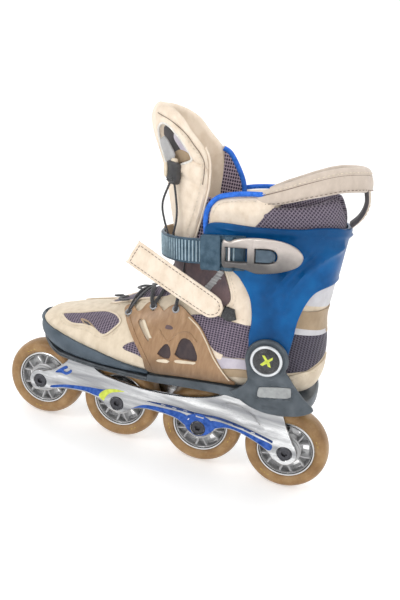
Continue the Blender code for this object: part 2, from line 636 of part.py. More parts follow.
def strap_band(name, path, thickness, half_width, mat, parent):
    """A flat band standing on a path of (u, y) in the strap plane; thickness and width may be lists."""
    pts = [Vector(p) for p in path]
    rings = []
    for i, p in enumerate(pts):
        ahead = (pts[min(i + 1, len(pts) - 1)] - pts[max(i - 1, 0)]).normalized()
        out = Vector((-ahead.y, ahead.x)) * (0.5 * thickness[i])
        half = half_width[i]
        a, b = p - out, p + out
        rings.append([on_strap(a.x, a.y, -half), on_strap(b.x, b.y, -half), on_strap(b.x, b.y, half),
                      on_strap(a.x, a.y, half)])
    return loft(name, rings, mat, parent, 30.0)


def ladder_path():
    """Middle line of the ladder strap: an arc through the buckle, then round the front of the tongue."""
    through = [(u, ladder_y(u)) for u in (LADDER_TIP_U, 10.0, 3.0, -4.0, -11.0, -18.0)]
    front = smooth_line([(-18.0, ladder_y(-18.0)), (-34.0, -44.0), (-50.0, -33.0), (-61.0, -16.0),
                         (-65.0, 1.0)], 6)
    return through + [tuple(p) for p in front[1:]]


def build_strap(body):
    path = ladder_path()
    last = len(path) - 1
    thick = []
    for i in range(last + 1):
        ridge = 6 <= i <= last - 1 and i % 2 == 0
        thick.append(STRAP_THICK + (1.0 if ridge else 0.0))
    strap_band("ladder_strap", path, thick,
               [0.5 * STRAP_WIDTH - (1.5 if i == 0 else 0.0) for i in range(last + 1)],
               LADDER_BLUE, body)
    pad = smooth_line([(-65.2, 1.7), (-62.0, 16.0), (-52.0, 31.0), (-36.0, 41.0), (-18.0, 45.6),
                       (-1.6, STRAP_ROOT[1])], 3)
    strap_band("strap_pad", [tuple(p) for p in pad], [3.2] * 5 + [3.0] * 5 + [2.4] * 6,
               [12.0] * 10 + [11.0] * 6,
               SUEDE, body)


def build_strap_root(body):
    """The strap's fixed end behind its fold line, and the rivet that holds it to the cuff."""
    y0 = STRAP_ROOT[1] - 1.2
    root = strap_slab("strap_root", [(2.4, -11.0), (18.0, -11.0), (24.0, -7.0), (24.0, 7.0), (18.0, 11.0),
                                     (2.4, 11.0)],
                      y0, y0 + 2.4, SUEDE, body)
    x, _, z = on_strap(14.0, 0.0, 0.0)
    hole = turned("root_hole", [(0.0, 30.0), (2.8, 30.0), (2.8, 60.0), (0.0, 60.0)], 12, None, None, (x, z),
                  closed=False)
    combine(root, hole, "DIFFERENCE")
    combine(bpy.data.objects["cuff"], hole, "DIFFERENCE")
    turned("strap_rivet", [(0.0, 39.9), (2.5, 39.9), (2.5, y0 + 2.7), (5.0, y0 + 2.7), (4.2, y0 + 4.0),
                           (0.0, y0 + 4.0)],
           12, STEEL, body, (x, z), closed=False)


def across_strap(name, outline, v0, v1, mat=None, parent=None):
    """An outline of (u, y) points carried across the strap's width."""
    return loft(name, [[on_strap(u, y, v) for u, y in outline] for v in (v0, v1)], mat, parent, 30.0)


def build_buckle_base(body):
    """A plate on the cuff with two rails that carry the lever's pin, and a bridge over the ladder strap."""
    back = BASE_SPAN[1]
    side_view = [(BASE_SPAN[0], -43.8), (back, -43.8), (back, -49.0), (10.4, -49.0), (9.2, -52.6),
                 (7.0, -53.2),
                 (4.6, -53.2), (2.6, -52.6), (1.2, -49.4), (-1.0, -49.4), (-2.0, -51.6),
                 (BASE_SPAN[0] + 2.0, -51.6),
                 (BASE_SPAN[0], -50.4)]
    base = across_strap("buckle_base", side_view, -13.8, 13.8, LADDER_BLUE, body)
    sweep = []
    for u in (-24.0, -16.0, -8.0, 0.0, 8.0, 16.0, 24.0):
        outer = ladder_y(u) - 0.5 * STRAP_THICK - 1.3
        inner = ladder_y(u) + 0.5 * STRAP_THICK + 0.4
        sweep.append([on_strap(u, y, v) for y, v in ((outer, -10.9), (inner, -10.9), (inner, 10.9),
                                                     (outer, 10.9))])
    combine(base, loft("strap_passage", sweep), "DIFFERENCE")
    combine(base, across_strap("open_front", [(-0.4, -46.9), (30.0, -46.9), (30.0, -60.0), (-0.4, -60.0)],
                               -10.9, 10.9),
            "DIFFERENCE")
    combine(base, strap_turned("pin_hole", LEVER_PIN_U, LEVER_PIN_Y, LEVER_PIN_R + GAP, -20.0, 20.0),
            "DIFFERENCE")
    strap_turned("lever_pin", LEVER_PIN_U, LEVER_PIN_Y, LEVER_PIN_R, -13.6, 13.6, STEEL, body)


def build_lever(body):
    """The long lever, its button hole, and the barrel that turns on the pin."""
    outline = [(1.0, -10.0), (1.0, 10.5), (14.0, 12.8), (34.0, 13.5), (48.0, 11.8), (58.0, 8.0), (64.0, 3.0),
               (64.5, -2.0), (60.0, -7.5), (48.0, -12.0), (34.0, -14.0), (22.0, -12.5), (14.0, -10.2)]
    lever = strap_slab("buckle_lever", outline, -55.0, -49.3, LEVER_SILVER, body)
    hollow = [(24.0, -9.0), (24.0, 9.0), (44.0, 9.0), (52.0, 5.0), (52.0, -6.0), (44.0, -9.0)]
    combine(lever, strap_slab("lever_hollow", hollow, -53.3, -40.0), "DIFFERENCE")
    window = [(3.0, -5.5), (3.0, 5.5), (21.0, 5.5), (21.0, -5.5)]
    combine(lever, strap_slab("lever_window", window, -60.0, -40.0), "DIFFERENCE")
    button_hole = [(27.7, -5.3), (27.7, 5.3), (39.0, 5.3), (44.3, 2.5), (44.3, -2.5), (39.0, -5.3)]
    combine(lever, strap_slab("button_hole", button_hole, -60.0, -45.0), "DIFFERENCE")
    for side in (-1, 1):
        v0, v1 = sorted((side * 10.7, side * 16.0))
        notch = strap_slab(f"lever_notch_{side}", [(-2.0, v0), (11.5, v0), (11.5, v1), (-2.0, v1)],
                           -60.0, -40.0)
        combine(lever, notch, "DIFFERENCE")
    nose = arc(LEVER_PIN_U, LEVER_PIN_Y, 2.5, 270, 90, 6)
    nose = [(-5.0, -60.0), (LEVER_PIN_U, -60.0)] + nose + [(LEVER_PIN_U, -40.0), (-5.0, -40.0)]
    combine(lever, across_strap("lever_nose", nose, -20.0, 20.0), "DIFFERENCE")
    clear = []
    for u in (-6.0, 4.0, 14.0, 25.0):
        outer = ladder_y(u) - 0.5 * STRAP_THICK - 0.9
        clear.append([on_strap(u, y, v) for y, v in ((outer, -12.0), (-40.0, -12.0), (-40.0, 12.0),
                                                     (outer, 12.0))])
    combine(lever, loft("strap_clear", clear), "DIFFERENCE")
    combine(lever, strap_turned("lever_pin_hole", LEVER_PIN_U, LEVER_PIN_Y, LEVER_PIN_R + GAP, -20.0, 20.0),
            "DIFFERENCE")


def build_release(button_body, pawl_body):
    """The release button in the lever, and the pawl under it that catches the ladder."""
    button = [(28.0, -5.0), (28.0, 5.0), (38.8, 5.0), (44.0, 2.3), (44.0, -2.3), (38.8, -5.0)]
    strap_slab("release_button", button, -54.7, -51.6, LADDER_BLUE, button_body)
    strap_slab("ratchet_pawl", [(25.0, -7.5), (42.0, -7.5), (42.0, 7.5), (25.0, 7.5)],
               -49.0, -47.5, STEEL, pawl_body)


# ---------------------------------------------------------------- tongue, laces and instep strap

# Height, front edge and half width of the tongue's outside; each level is round in plan.
TONGUE = [(192.0, -8.0, 33.0), (214.0, -13.5, 34.0), (240.0, -22.0, 35.0), (262.0, -29.0, 35.5),
          (280.0, -37.0, 35.5),
          (296.0, -46.0, 35.0), (310.0, -50.0, 34.0), (326.0, -46.0, 33.0)]


def tongue_form(name, shrink, stretch=0.0, mat=None, parent=None):
    """The tongue's outside as a leaning column, shrunk by a margin."""
    rings = []
    for i, (z, front, half) in enumerate(TONGUE):
        ring = []
        for k in range(24):
            a = 2 * math.pi * k / 24
            ring.append((front + half + 8.0 + (half + 8.0 - shrink) * math.cos(a),
                         (half - shrink) * math.sin(a), z))
        rings.append(ring)
    if stretch:
        rings[0] = [(x, y, z - stretch) for x, y, z in rings[0]]
        rings[-1] = [(x, y, z + stretch) for x, y, z in rings[-1]]
    return loft(name, rings, mat, parent)


def build_tongue(body):
    tongue = tongue_form("tongue", 0.0, mat=SUEDE, parent=body)
    shape = [(-20.0, 196.0), (0.0, 196.0), (8.0, 214.0), (13.0, 240.0), (15.5, 262.0), (12.5, 283.0),
             (8.0, 292.0),
             (-3.0, 301.0), (-16.0, 312.0), (-28.0, 318.5), (-41.0, 322.0), (-55.0, 320.0), (-60.0, 290.0),
             (-45.0, 230.0), (-30.0, 196.0)]
    combine(tongue, prism("tongue_shape", shape, -60.0, 60.0), "INTERSECT")
    combine(tongue, tongue_form("shin_space", 9.0, 20.0), "DIFFERENCE")
    gusset = [(16.2, 262.0), (13.4, 283.0), (9.5, 291.0), (15.0, 288.0), (22.0, 279.0), (30.0, 267.0),
              (34.0, 254.0),
              (30.0, 243.0), (15.0, 239.0)]
    prism("tongue_gusset", gusset, 27.0, 29.0, MESH_PURPLE, body)


def seat_on_tongue(t, n, z):
    """A place beside the lace lock's middle: t along the tongue's surface, n out from it, and its height."""
    x, y = TOGGLE
    out = n + TOGGLE_LEAN * (z - TOGGLE_MID_Z)
    c, s = math.cos(TOGGLE_FACING), math.sin(TOGGLE_FACING)
    return (x + t * s - out * c, y - t * c - out * s, z)


def build_toggle(tongue_body, button_body):
    """The lace lock on the buckle side of the tongue's front, its plunger, and the clip above it."""
    shape = [(-4.6, 277.0), (-5.8, 268.0), (-3.2, 260.0), (3.4, 259.4), (5.6, 267.0), (5.4, 276.0)]
    case = loft("lace_toggle", [[seat_on_tongue(t, n, z) for t, z in shape] for n in (-4.4, 5.0)], BLACK,
                tongue_body, 30.0)
    x, y, _ = seat_on_tongue(0.0, 0.0, 273.0)
    well = upright_at("toggle_well", x, y, [(3.3, 270.0), (3.3, 290.0)])
    combine(case, well, "DIFFERENCE")
    upright_at("toggle_plunger", x, y, [(2.9, 271.5), (2.9, 280.0)], SUEDE, button_body)
    ends = [Vector((-22.4, -30.2, 282.4)), Vector((-30.6, -28.7, 293.5))]
    across = Vector((0.849, -0.529, 0.0))
    out = Vector((-0.529, -0.849, 0.0))
    rings = [[tuple(p + across * 5.0 * a + out * 1.5 * b) for a, b in ((-1, -1), (1, -1), (1, 1), (-1, 1))]
             for p in ends]
    loft("lace_clip", rings, PAD_GREY, tongue_body, 30.0)


def upright_at(name, x, y, profile, mat=None, parent=None):
    """A round piece about a vertical line, from (radius, z) pairs in rising order."""
    rings = [[(x + r * math.cos(math.pi * k / 5), y + r * math.sin(math.pi * k / 5), z) for k in range(10)]
             for r, z in profile]
    return loft(name, rings, mat, parent)


def build_laces(body):
    """The zig-zag over the instep, and the loop that runs from under the strap up to the toggle."""
    rows = []
    for i, (x, z) in enumerate([(-60.0, 140.0), (-52.0, 145.5), (-44.0, 150.0), (-36.0, 155.5),
                                (-28.0, 160.0)]):
        side = -1 if i % 2 == 0 else 1
        rows += [(x, side * 17.0, z - 1.8), (x + 2.5, side * 9.0, z + 0.6), (x + 5.0, -side * 9.0, z + 2.2)]
    tube("lace_zigzag", [tuple(p) for p in smooth_line(rows, 2)], 1.2, BLACK)
    loop = [(-10.0, -29.0, 219.5), (-14.6, -30.5, 232.0), (-16.8, -32.0, 245.0), (-15.2, -33.4, 257.2)]
    tube("lace_loop", [tuple(p) for p in smooth_line(loop, 5)], 1.0, BLACK, body)


def build_instep_strap(body):
    """The hook-and-loop strap, hanging open from its anchor on the buckle side."""
    start = Vector(INSTEP_ROOT)
    end = Vector(INSTEP_TIP)
    ahead = (end - start).normalized()
    out = Vector((0, -1, 0))
    up = ahead.cross(out).normalized()
    if up.z < 0:
        up = -up
    rings = []
    for share, half in ((0.0, 5.0), (0.06, 8.5), (0.14, 10.5), (0.35, 10.5), (0.6, 10.6), (0.8, 10.8),
                        (1.0, 10.8)):
        p = start.lerp(end, share) + out * (0.9 * math.sin(math.pi * share))
        rings.append([tuple(p + up * half * a + out * 1.3 * b) for a, b in ((-1, -1), (1, -1), (1, 1),
                                                                            (-1, 1))])
    loft("instep_strap", rings, SUEDE, body, 30.0)
    anchor = [(48.5, 160.5), (60.0, 152.0), (68.0, 160.0), (64.0, 170.0), (50.0, 172.0)]
    prism("strap_anchor", anchor, -41.4, -39.4, BLACK)


# ---------------------------------------------------------------- assembly

cuff_body = joint_empty("cuff_pivot", (PIVOT[0], 0.0, PIVOT[1]))
strap_body = joint_empty("strap_fold", on_strap(0.0, STRAP_ROOT[1], 0.0))
lever_body = joint_empty("lever_pivot", on_strap(LEVER_PIN_U, LEVER_PIN_Y, 0.0))
button_body = joint_empty("button_slide", on_strap(36.0, -53.0, 0.0))
pawl_body = joint_empty("pawl_pivot", on_strap(42.0, -48.2, 0.0))
tongue_body = joint_empty("tongue_fold", (TONGUE_HINGE[0], 0.0, TONGUE_HINGE[1]))
toggle_body = joint_empty("toggle_slide", (*TOGGLE, 262.0))
instep_body = joint_empty("instep_fold", INSTEP_ROOT)

build_wheels()
build_axles()
build_frame()
build_mount_bolts()
build_toe_rand()
build_chassis()
build_boot()
build_cages()
build_cuff(cuff_body)
build_pivot_rivets()
build_collar(cuff_body)
build_heel_loop(cuff_body)
build_strap(strap_body)
build_strap_root(cuff_body)
build_buckle_base(cuff_body)
build_lever(lever_body)
build_release(button_body, pawl_body)
build_tongue(tongue_body)
build_toggle(tongue_body, toggle_body)
build_laces(tongue_body)
build_instep_strap(instep_body)
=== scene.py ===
"""The look of a left inline skate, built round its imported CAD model.

Toe towards -X, heel towards +X, the buckle side towards -Y, +Z up. The figures below are in millimetres;
make_mesh turns them into metres.
"""
import math

import bmesh
import bpy
import numpy as np
from mathutils import Matrix, Vector
from mathutils.bvhtree import BVHTree
from mathutils.geometry import delaunay_2d_cdt


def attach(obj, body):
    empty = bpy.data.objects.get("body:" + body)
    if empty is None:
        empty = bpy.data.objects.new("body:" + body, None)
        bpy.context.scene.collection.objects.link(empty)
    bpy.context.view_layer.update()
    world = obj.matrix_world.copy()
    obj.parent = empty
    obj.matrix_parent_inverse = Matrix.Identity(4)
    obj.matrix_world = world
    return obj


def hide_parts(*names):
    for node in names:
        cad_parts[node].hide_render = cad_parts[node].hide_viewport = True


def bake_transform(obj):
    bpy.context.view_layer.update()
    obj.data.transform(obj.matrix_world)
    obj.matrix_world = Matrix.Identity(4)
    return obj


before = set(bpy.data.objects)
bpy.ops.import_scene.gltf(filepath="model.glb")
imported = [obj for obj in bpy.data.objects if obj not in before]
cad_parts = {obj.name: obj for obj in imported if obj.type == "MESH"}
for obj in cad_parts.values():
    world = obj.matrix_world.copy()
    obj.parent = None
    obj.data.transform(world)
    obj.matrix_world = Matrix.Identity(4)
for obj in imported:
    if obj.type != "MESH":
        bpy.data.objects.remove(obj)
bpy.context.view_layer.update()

MM = 0.001

# ---------------------------------------------------------------- driving dimensions, as in the CAD source

WHEEL_X = (-124.5, -41.5, 41.5, 124.5)
AXLE_Z = 39.0
HUB_R = 27.0
RIM_R = 23.5
CORE_R = 14.5
BEARING_R = 11.0
PRINT_R = 31.6
AXLE_HOLE_R = 6.75
PLATE_OUT = 16.2
BOSS_R = 11.5
BOSS_OUT = 18.0
PIVOT = (93, 135)
EAR_OUT = 47.0
STRAP_TILT = math.radians(10.0)
STRAP_ROOT = (40, 46)
STRAP_MID_Z = 216.0
LADDER_R = 93.7
INSTEP_ROOT = (47, -46.2, 166)
INSTEP_TIP = (-34, -51.5, 200.5)
SIDES = (("outer", -1), ("inner", 1))

# The upper's sections: base (x, z), top (x, z), half widths on the buckle side and the inner side, height
# share of the widest place, and the squareness of the lower and upper halves. Past the instep the sections
# run up under the cuff.
FOOT = [((-130, 101), (-130, 107.5), 9.0, 10.0, 0.5, 2.4, 2.2), ((-123, 95.5), (-124.5, 114.5), 22.0, 25.0,
    0.42, 3.0, 2.2), ((-110, 90.5), (-112, 119.5), 32.0, 36.0, 0.40, 3.6, 2.2),
    ((-90, 87), (-92, 126), 39.0, 44.5, 0.38, 4.2, 2.2), ((-63, 86.8), (-66, 134), 43.0, 48.5, 0.36, 4.5,
    2.1), ((-38, 87), (-46, 145), 43.5, 47.5, 0.34, 4.5, 2.1), ((-8, 88.3), (-31, 154.5), 42.5, 43.5, 0.34,
    4.2, 2.1), ((32, 91.5), (-20, 161), 40.5, 40.0, 0.36, 3.6, 2.1),
    ((78, 94.8), (-12, 166), 39.0, 38.5, 0.40, 3.2, 2.2), ((112, 98.5), (-9.5, 172), 38.3, 38.3, 0.42, 2.8,
    2.3), ((131, 106), (-9, 177), 38.0, 38.0, 0.44, 2.5, 2.3), ((138, 123), (-9, 182), 38.0, 38.0, 0.46,
    2.4, 2.3), ((136, 149), (-9.5, 188), 38.3, 38.3, 0.48, 2.4, 2.3), ((130.5, 172), (-10.5, 194),
    38.4, 38.4, 0.50, 2.4, 2.3), ((131, 192), (-11.5, 201), 38.6, 38.6, 0.50, 2.4, 2.3),
    ((131, 212), (-13.5, 209), 38.4, 38.4, 0.50, 2.4, 2.3), ]
# height, back edge, half width, squareness of the ankle's outside
SHAFT = [(112, 127, 43.6, 6), (150, 130, 43.6, 5), (180, 131, 43.4, 3.8), (205, 132, 43, 3),
    (235, 132.5, 42.5, 2.7), (262, 133, 42, 2.6), (285, 131, 41, 2.6)]
SHAFT_FRONT = -20.0
# height, front edge and half width of the tongue
TONGUE = [(192, -8, 33), (214, -13.5, 34), (240, -22, 35), (262, -29, 35.5), (280, -37, 35.5),
    (296, -46, 35), (310, -50, 34), (326, -46, 33)]


# ---------------------------------------------------------------- lines and outlines

def catmull(a, b, c, d, t):
    """The Catmull-Rom curve from b to c."""
    bend = (2 * a - 5 * b + 4 * c - d) * t * t
    return 0.5 * (2 * b + (c - a) * t + bend + (3 * b - a - 3 * c + d) * t ** 3)


def line(points, step=1.5):
    """A smooth open line through points, with a point about every step."""
    pts = np.array(points, float)
    pts = np.vstack([2 * pts[0] - pts[1], pts, 2 * pts[-1] - pts[-2]])
    out = []
    for i in range(1, len(pts) - 2):
        pieces = max(1, int(round(np.linalg.norm(pts[i + 1] - pts[i]) / step)))
        for k in range(pieces):
            out.append(catmull(*pts[i - 1:i + 3], k / pieces))
    out.append(pts[-2])
    return np.array(out)


def outline(points, step=1.5, sharp=()):
    """A closed smooth outline through points; those whose index is in sharp are corners."""
    pts = np.array(points, float)
    count = len(pts)
    corners = set(range(count)) if sharp == "all" else {k % count for k in sharp}
    out = []
    for i in range(count):
        b, c = pts[i], pts[(i + 1) % count]
        a = 2 * b - c if i in corners else pts[i - 1]
        d = 2 * c - b if (i + 1) % count in corners else pts[(i + 2) % count]
        pieces = max(1, int(round(np.linalg.norm(c - b) / step)))
        for k in range(pieces):
            out.append(catmull(a, b, c, d, k / pieces))
    return np.array(out)


def arc(cx, cz, r, start, stop, steps):
    """Points on a circle, angles in degrees."""
    angles = np.radians(np.linspace(start, stop, steps + 1))
    return [(cx + r * math.cos(a), cz + r * math.sin(a)) for a in angles]


def spin(count):
    """Even angles once round, from 0."""
    return np.linspace(0, 2 * math.pi, count, endpoint=False)


def circle(cx, cz, r, steps=40):
    """A closed outline round a centre."""
    return np.array(arc(cx, cz, r, 0, 360, steps)[:-1])


def signed_area(loop):
    """The area inside a closed line, above zero where it runs anticlockwise."""
    x, y = loop[:, 0], loop[:, 1]
    return 0.5 * np.sum(x * np.roll(y, -1) - np.roll(x, -1) * y)


def inside(points, loops):
    """Which points lie inside the first loop and outside the others."""
    result = np.zeros(len(points), bool)
    px, py = points[:, 0][:, None], points[:, 1][:, None]
    for loop in loops:
        ax, ay = loop[:, 0], loop[:, 1]
        bx, by = np.roll(ax, -1), np.roll(ay, -1)
        rise = np.where(by == ay, 1e-12, by - ay)
        crosses = ((ay > py) != (by > py)) & (px < (bx - ax) * (py - ay) / rise + ax)
        result ^= (crosses.sum(axis=1) % 2).astype(bool)
    return result


def distance(points, loops, closed=True):
    """How far each point is from the nearest of the lines."""
    best = np.full(len(points), 1e9)
    for loop in loops:
        a = loop if closed else loop[:-1]
        b = np.roll(loop, -1, axis=0) if closed else loop[1:]
        along = b - a
        size = np.maximum((along ** 2).sum(axis=1), 1e-12)
        for first in range(0, len(points), 2000):
            p = points[first:first + 2000, None, :]
            t = np.clip(((p - a) * along).sum(axis=2) / size, 0, 1)
            gap = np.linalg.norm(p - a - t[..., None] * along, axis=2).min(axis=1)
            best[first:first + 2000] = np.minimum(best[first:first + 2000], gap)
    return best


def power(value, exponent):
    """A signed power, for rings between an ellipse and a rectangle."""
    return np.sign(value) * np.abs(value) ** (2.0 / exponent)


# ---------------------------------------------------------------- meshes

def make_mesh(name, verts, faces, mat, smooth=40.0, body=None):
    """One mesh from points in millimetres, riding on a body."""
    mesh = bpy.data.meshes.new(name)
    mesh.from_pydata((np.asarray(verts, float) * MM).tolist(), [],
        [tuple(int(i) for i in f) for f in faces])
    bm = bmesh.new()
    bm.from_mesh(mesh)
    bmesh.ops.recalc_face_normals(bm, faces=bm.faces)
    bm.to_mesh(mesh)
    bm.free()
    mesh.shade_smooth()
    mesh.set_sharp_from_angle(angle=math.radians(smooth))
    mesh.materials.append(mat)
    obj = bpy.data.objects.new(name, mesh)
    bpy.context.scene.collection.objects.link(obj)
    if body:
        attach(obj, body)
    return obj


def ring_faces(rings, around=False):
    """Points and faces of the skin through closed rings, joined end to end where around is true."""
    count, rows = len(rings[0]), len(rings)
    faces = []
    for i in range(rows if around else rows - 1):
        j = (i + 1) % rows
        for k in range(count):
            n = (k + 1) % count
            faces.append((i * count + k, i * count + n, j * count + n, j * count + k))
    return np.vstack(rings), faces


def loft(name, rings, mat, smooth=40.0, body=None, caps=True, around=False):
    """A mesh through closed rings, capped at both ends unless it is joined end to end."""
    verts, faces = ring_faces(rings, around)
    if caps and not around:
        count = len(rings[0])
        faces += [tuple(range(count)), tuple(range(len(verts) - count, len(verts)))]
    return make_mesh(name, verts, faces, mat, smooth, body)


def turned(name, profile, mat, centre=(0, 0), steps=96, body=None, smooth=40.0, around=True):
    """A profile of (radius, y) turned about a line along Y through centre (x, z)."""
    angles = spin(steps)
    rings = []
    for r, y in profile:
        radius = r(angles) if callable(r) else np.full(steps, max(r, 1e-4))
        rings.append(np.column_stack([centre[0] + radius * np.cos(angles), np.full(steps, y),
            centre[1] + radius * np.sin(angles)]))
    return loft(name, rings, mat, smooth, body, caps=not around, around=around)


def hexagon(radius):
    """Radius by angle of a hexagon with that distance across half its flats."""
    return lambda a: radius / np.cos((a % (math.pi / 3)) - math.pi / 6)


def frames_along(path, up):
    """Side and up directions at each point of a path, turning as little as they can."""
    path = np.asarray(path, float)
    ahead = np.gradient(path, axis=0)
    ahead /= np.linalg.norm(ahead, axis=1)[:, None]
    ups, sides = [], []
    current = np.array(up, float)
    for a in ahead:
        current = current - a * (current @ a)
        current /= np.linalg.norm(current)
        ups.append(current.copy())
        sides.append(np.cross(a, current))
    return np.array(sides), np.array(ups)


def swept(name, path, section, mat, up=(0, 0, 1), body=None, scale=None, closed=False):
    """A section of (side, up) points carried along a path."""
    path = np.asarray(path, float)
    if closed:
        sides, ups = frames_along(np.vstack([path[-1], path, path[0]]), up)
        sides, ups = sides[1:-1], ups[1:-1]
    else:
        sides, ups = frames_along(path, up)
    rings = []
    for i, p in enumerate(path):
        s = section(i / max(1, len(path) - 1)) if callable(section) else section
        k = 1.0 if scale is None else scale[i]
        rings.append(np.array([p + sides[i] * a * k + ups[i] * b * k for a, b in s]))
    return loft(name, rings, mat, body=body, caps=not closed, around=closed)


def round_section(rx, rz=None, points=10, square=2.0):
    """A section between an ellipse and a rectangle, for swept."""
    rz = rx if rz is None else rz
    angles = spin(points)
    return [(rx * float(power(math.cos(a), square)), rz * float(power(math.sin(a), square)))
        for a in angles]


def cord(name, points, radius, mat, body=None, step=1.6, points_round=10):
    """A round thread, lace or piping through points."""
    path = line(points, step)
    return swept(name, path, round_section(radius, points=points_round), mat, body=body)


def roll_off(d, radius):
    """How far a rounded edge of that radius has dropped at a distance d from it."""
    radius = max(radius, 1e-6)
    reach = np.minimum(d, radius)
    return radius - np.sqrt(np.maximum(radius ** 2 - (radius - reach) ** 2, 0.0))


def relief(name, edge, place, mat, thick=1.0, roll=0.5, height=None, holes=(), step=1.8, under=0.0,
        body=None):
    """A panel with an outline, round edges and a shaped face.

    place(points, h) gives the places in space of flat points, h above the surface that the panel lies on.
    height(points, d) gives the face's own relief, d being the distance from the edge. The back is thick
    below, and its edge is rounded by under.
    """
    loops = [np.asarray(edge, float)] + [np.asarray(h, float) for h in holes]
    loops = [loop if (signed_area(loop) > 0) == (i == 0) else loop[::-1] for i, loop in enumerate(loops)]
    inner = []
    rim = max(roll, under, 0.25)
    for loop in loops:
        tangent = np.roll(loop, -1, axis=0) - np.roll(loop, 1, axis=0)
        tangent /= np.maximum(np.linalg.norm(tangent, axis=1), 1e-9)[:, None]
        inward = np.column_stack([-tangent[:, 1], tangent[:, 0]])
        for share in (0.13, 0.45, 1):
            margin = rim * share
            ring = loop + inward * margin
            inner.append(ring[distance(ring, loops) > 0.93 * margin])
    low, high = loops[0].min(axis=0), loops[0].max(axis=0)
    us = np.arange(low[0], high[0], step)
    vs = np.arange(low[1], high[1], step * 0.87)
    grid = np.array([(u + (0.5 * step if j % 2 else 0.0), v) for j, v in enumerate(vs) for u in us])
    grid = grid[distance(grid, loops) > rim + 0.45 * step]
    inner.append(grid)
    inner = np.vstack(inner)
    inner = inner[inside(inner, loops)]
    flat = np.vstack(loops + [inner])
    edges, start = [], 0
    for loop in loops:
        edges += [(start + k, start + (k + 1) % len(loop)) for k in range(len(loop))]
        start += len(loop)
    verts, _, faces, _, _, _ = delaunay_2d_cdt([Vector(p) for p in flat], edges, [], 0, 1e-4)
    flat = np.array([(v[0], v[1]) for v in verts])
    faces = np.array([f for f in faces if len(f) == 3])
    faces = faces[inside(flat[faces].mean(axis=1), loops)]
    used = np.unique(faces)
    index = np.zeros(len(flat), int)
    index[used] = np.arange(len(used))
    flat, faces = flat[used], index[faces]
    d = distance(flat, loops)
    h = -roll_off(d, roll)
    if height is not None:
        h = h + height(flat, d)
    top = place(flat, h)
    low_face = place(flat, roll_off(d, under) - thick)
    count = len(flat)
    pairs = {}
    for a, b, c in faces:
        for e in ((a, b), (b, c), (c, a)):
            pairs[e] = True
    walls = [(b, a, a + count, b + count) for a, b in pairs if (b, a) not in pairs]
    faces = [tuple(f) for f in faces] + [(a + count, c + count, b + count) for a, b, c in faces] + walls
    obj = make_mesh(name, np.vstack([top, low_face]), faces, mat, 50.0, body)
    lie = np.column_stack([np.vstack([flat, flat]) * MM, np.zeros(2 * count)])
    obj.data.attributes.new("panel_place", "FLOAT_VECTOR", "POINT").data.foreach_set("vector", lie.ravel())
    return obj


def stitches(name, path, mat, body=None, long=2.4, gap=1.3, radius=0.32, closed=False):
    """A row of short threads lying along a path."""
    path = np.asarray(path, float)
    if closed:
        path = np.vstack([path, path[:1]])
    run = np.concatenate([[0], np.cumsum(np.linalg.norm(np.diff(path, axis=0), axis=1))])
    sides, ups = frames_along(path, (0.12, 0.2, 1))
    verts, faces = [], []
    at = 0.5 * gap
    angles = spin(6)
    while at + long < run[-1]:
        base = len(verts)
        for share, r in ((0, 0.35), (0.22, 1), (0.78, 1), (1, 0.35)):
            s = at + long * share
            p = np.array([np.interp(s, run, path[:, k]) for k in range(3)])
            i = min(int(np.searchsorted(run, s)), len(path) - 1)
            for a in angles:
                verts.append(p + radius * r * (sides[i] * math.cos(a) + ups[i] * math.sin(a)))
        for i in range(3):
            for k in range(6):
                n = (k + 1) % 6
                faces.append((base + 6 * i + k, base + 6 * i + n, base + 6 * i + 6 + n,
                    base + 6 * i + 6 + k))
        faces.append(tuple(base + k for k in range(5, -1, -1)))
        faces.append(tuple(base + 18 + k for k in range(6)))
        at += long + gap
    return make_mesh(name, verts, faces, mat, 80.0, body)


def inset(loop, amount):
    """An outline moved inwards by an amount, without the points that would fold over."""
    loop = np.asarray(loop, float)
    loop = loop if signed_area(loop) > 0 else loop[::-1]
    tangent = np.roll(loop, -1, axis=0) - np.roll(loop, 1, axis=0)
    tangent /= np.maximum(np.linalg.norm(tangent, axis=1), 1e-9)[:, None]
    moved = loop + np.column_stack([-tangent[:, 1], tangent[:, 0]]) * amount
    return moved[distance(moved, [loop]) > 0.95 * abs(amount)]


def bump_along(points, path, width, amount):
    """A soft ridge, or a groove where amount is negative, along a path."""
    gap = distance(points, [np.asarray(path, float)], closed=False)
    return amount * np.exp(-(gap / width) ** 2)


# ---------------------------------------------------------------- materials

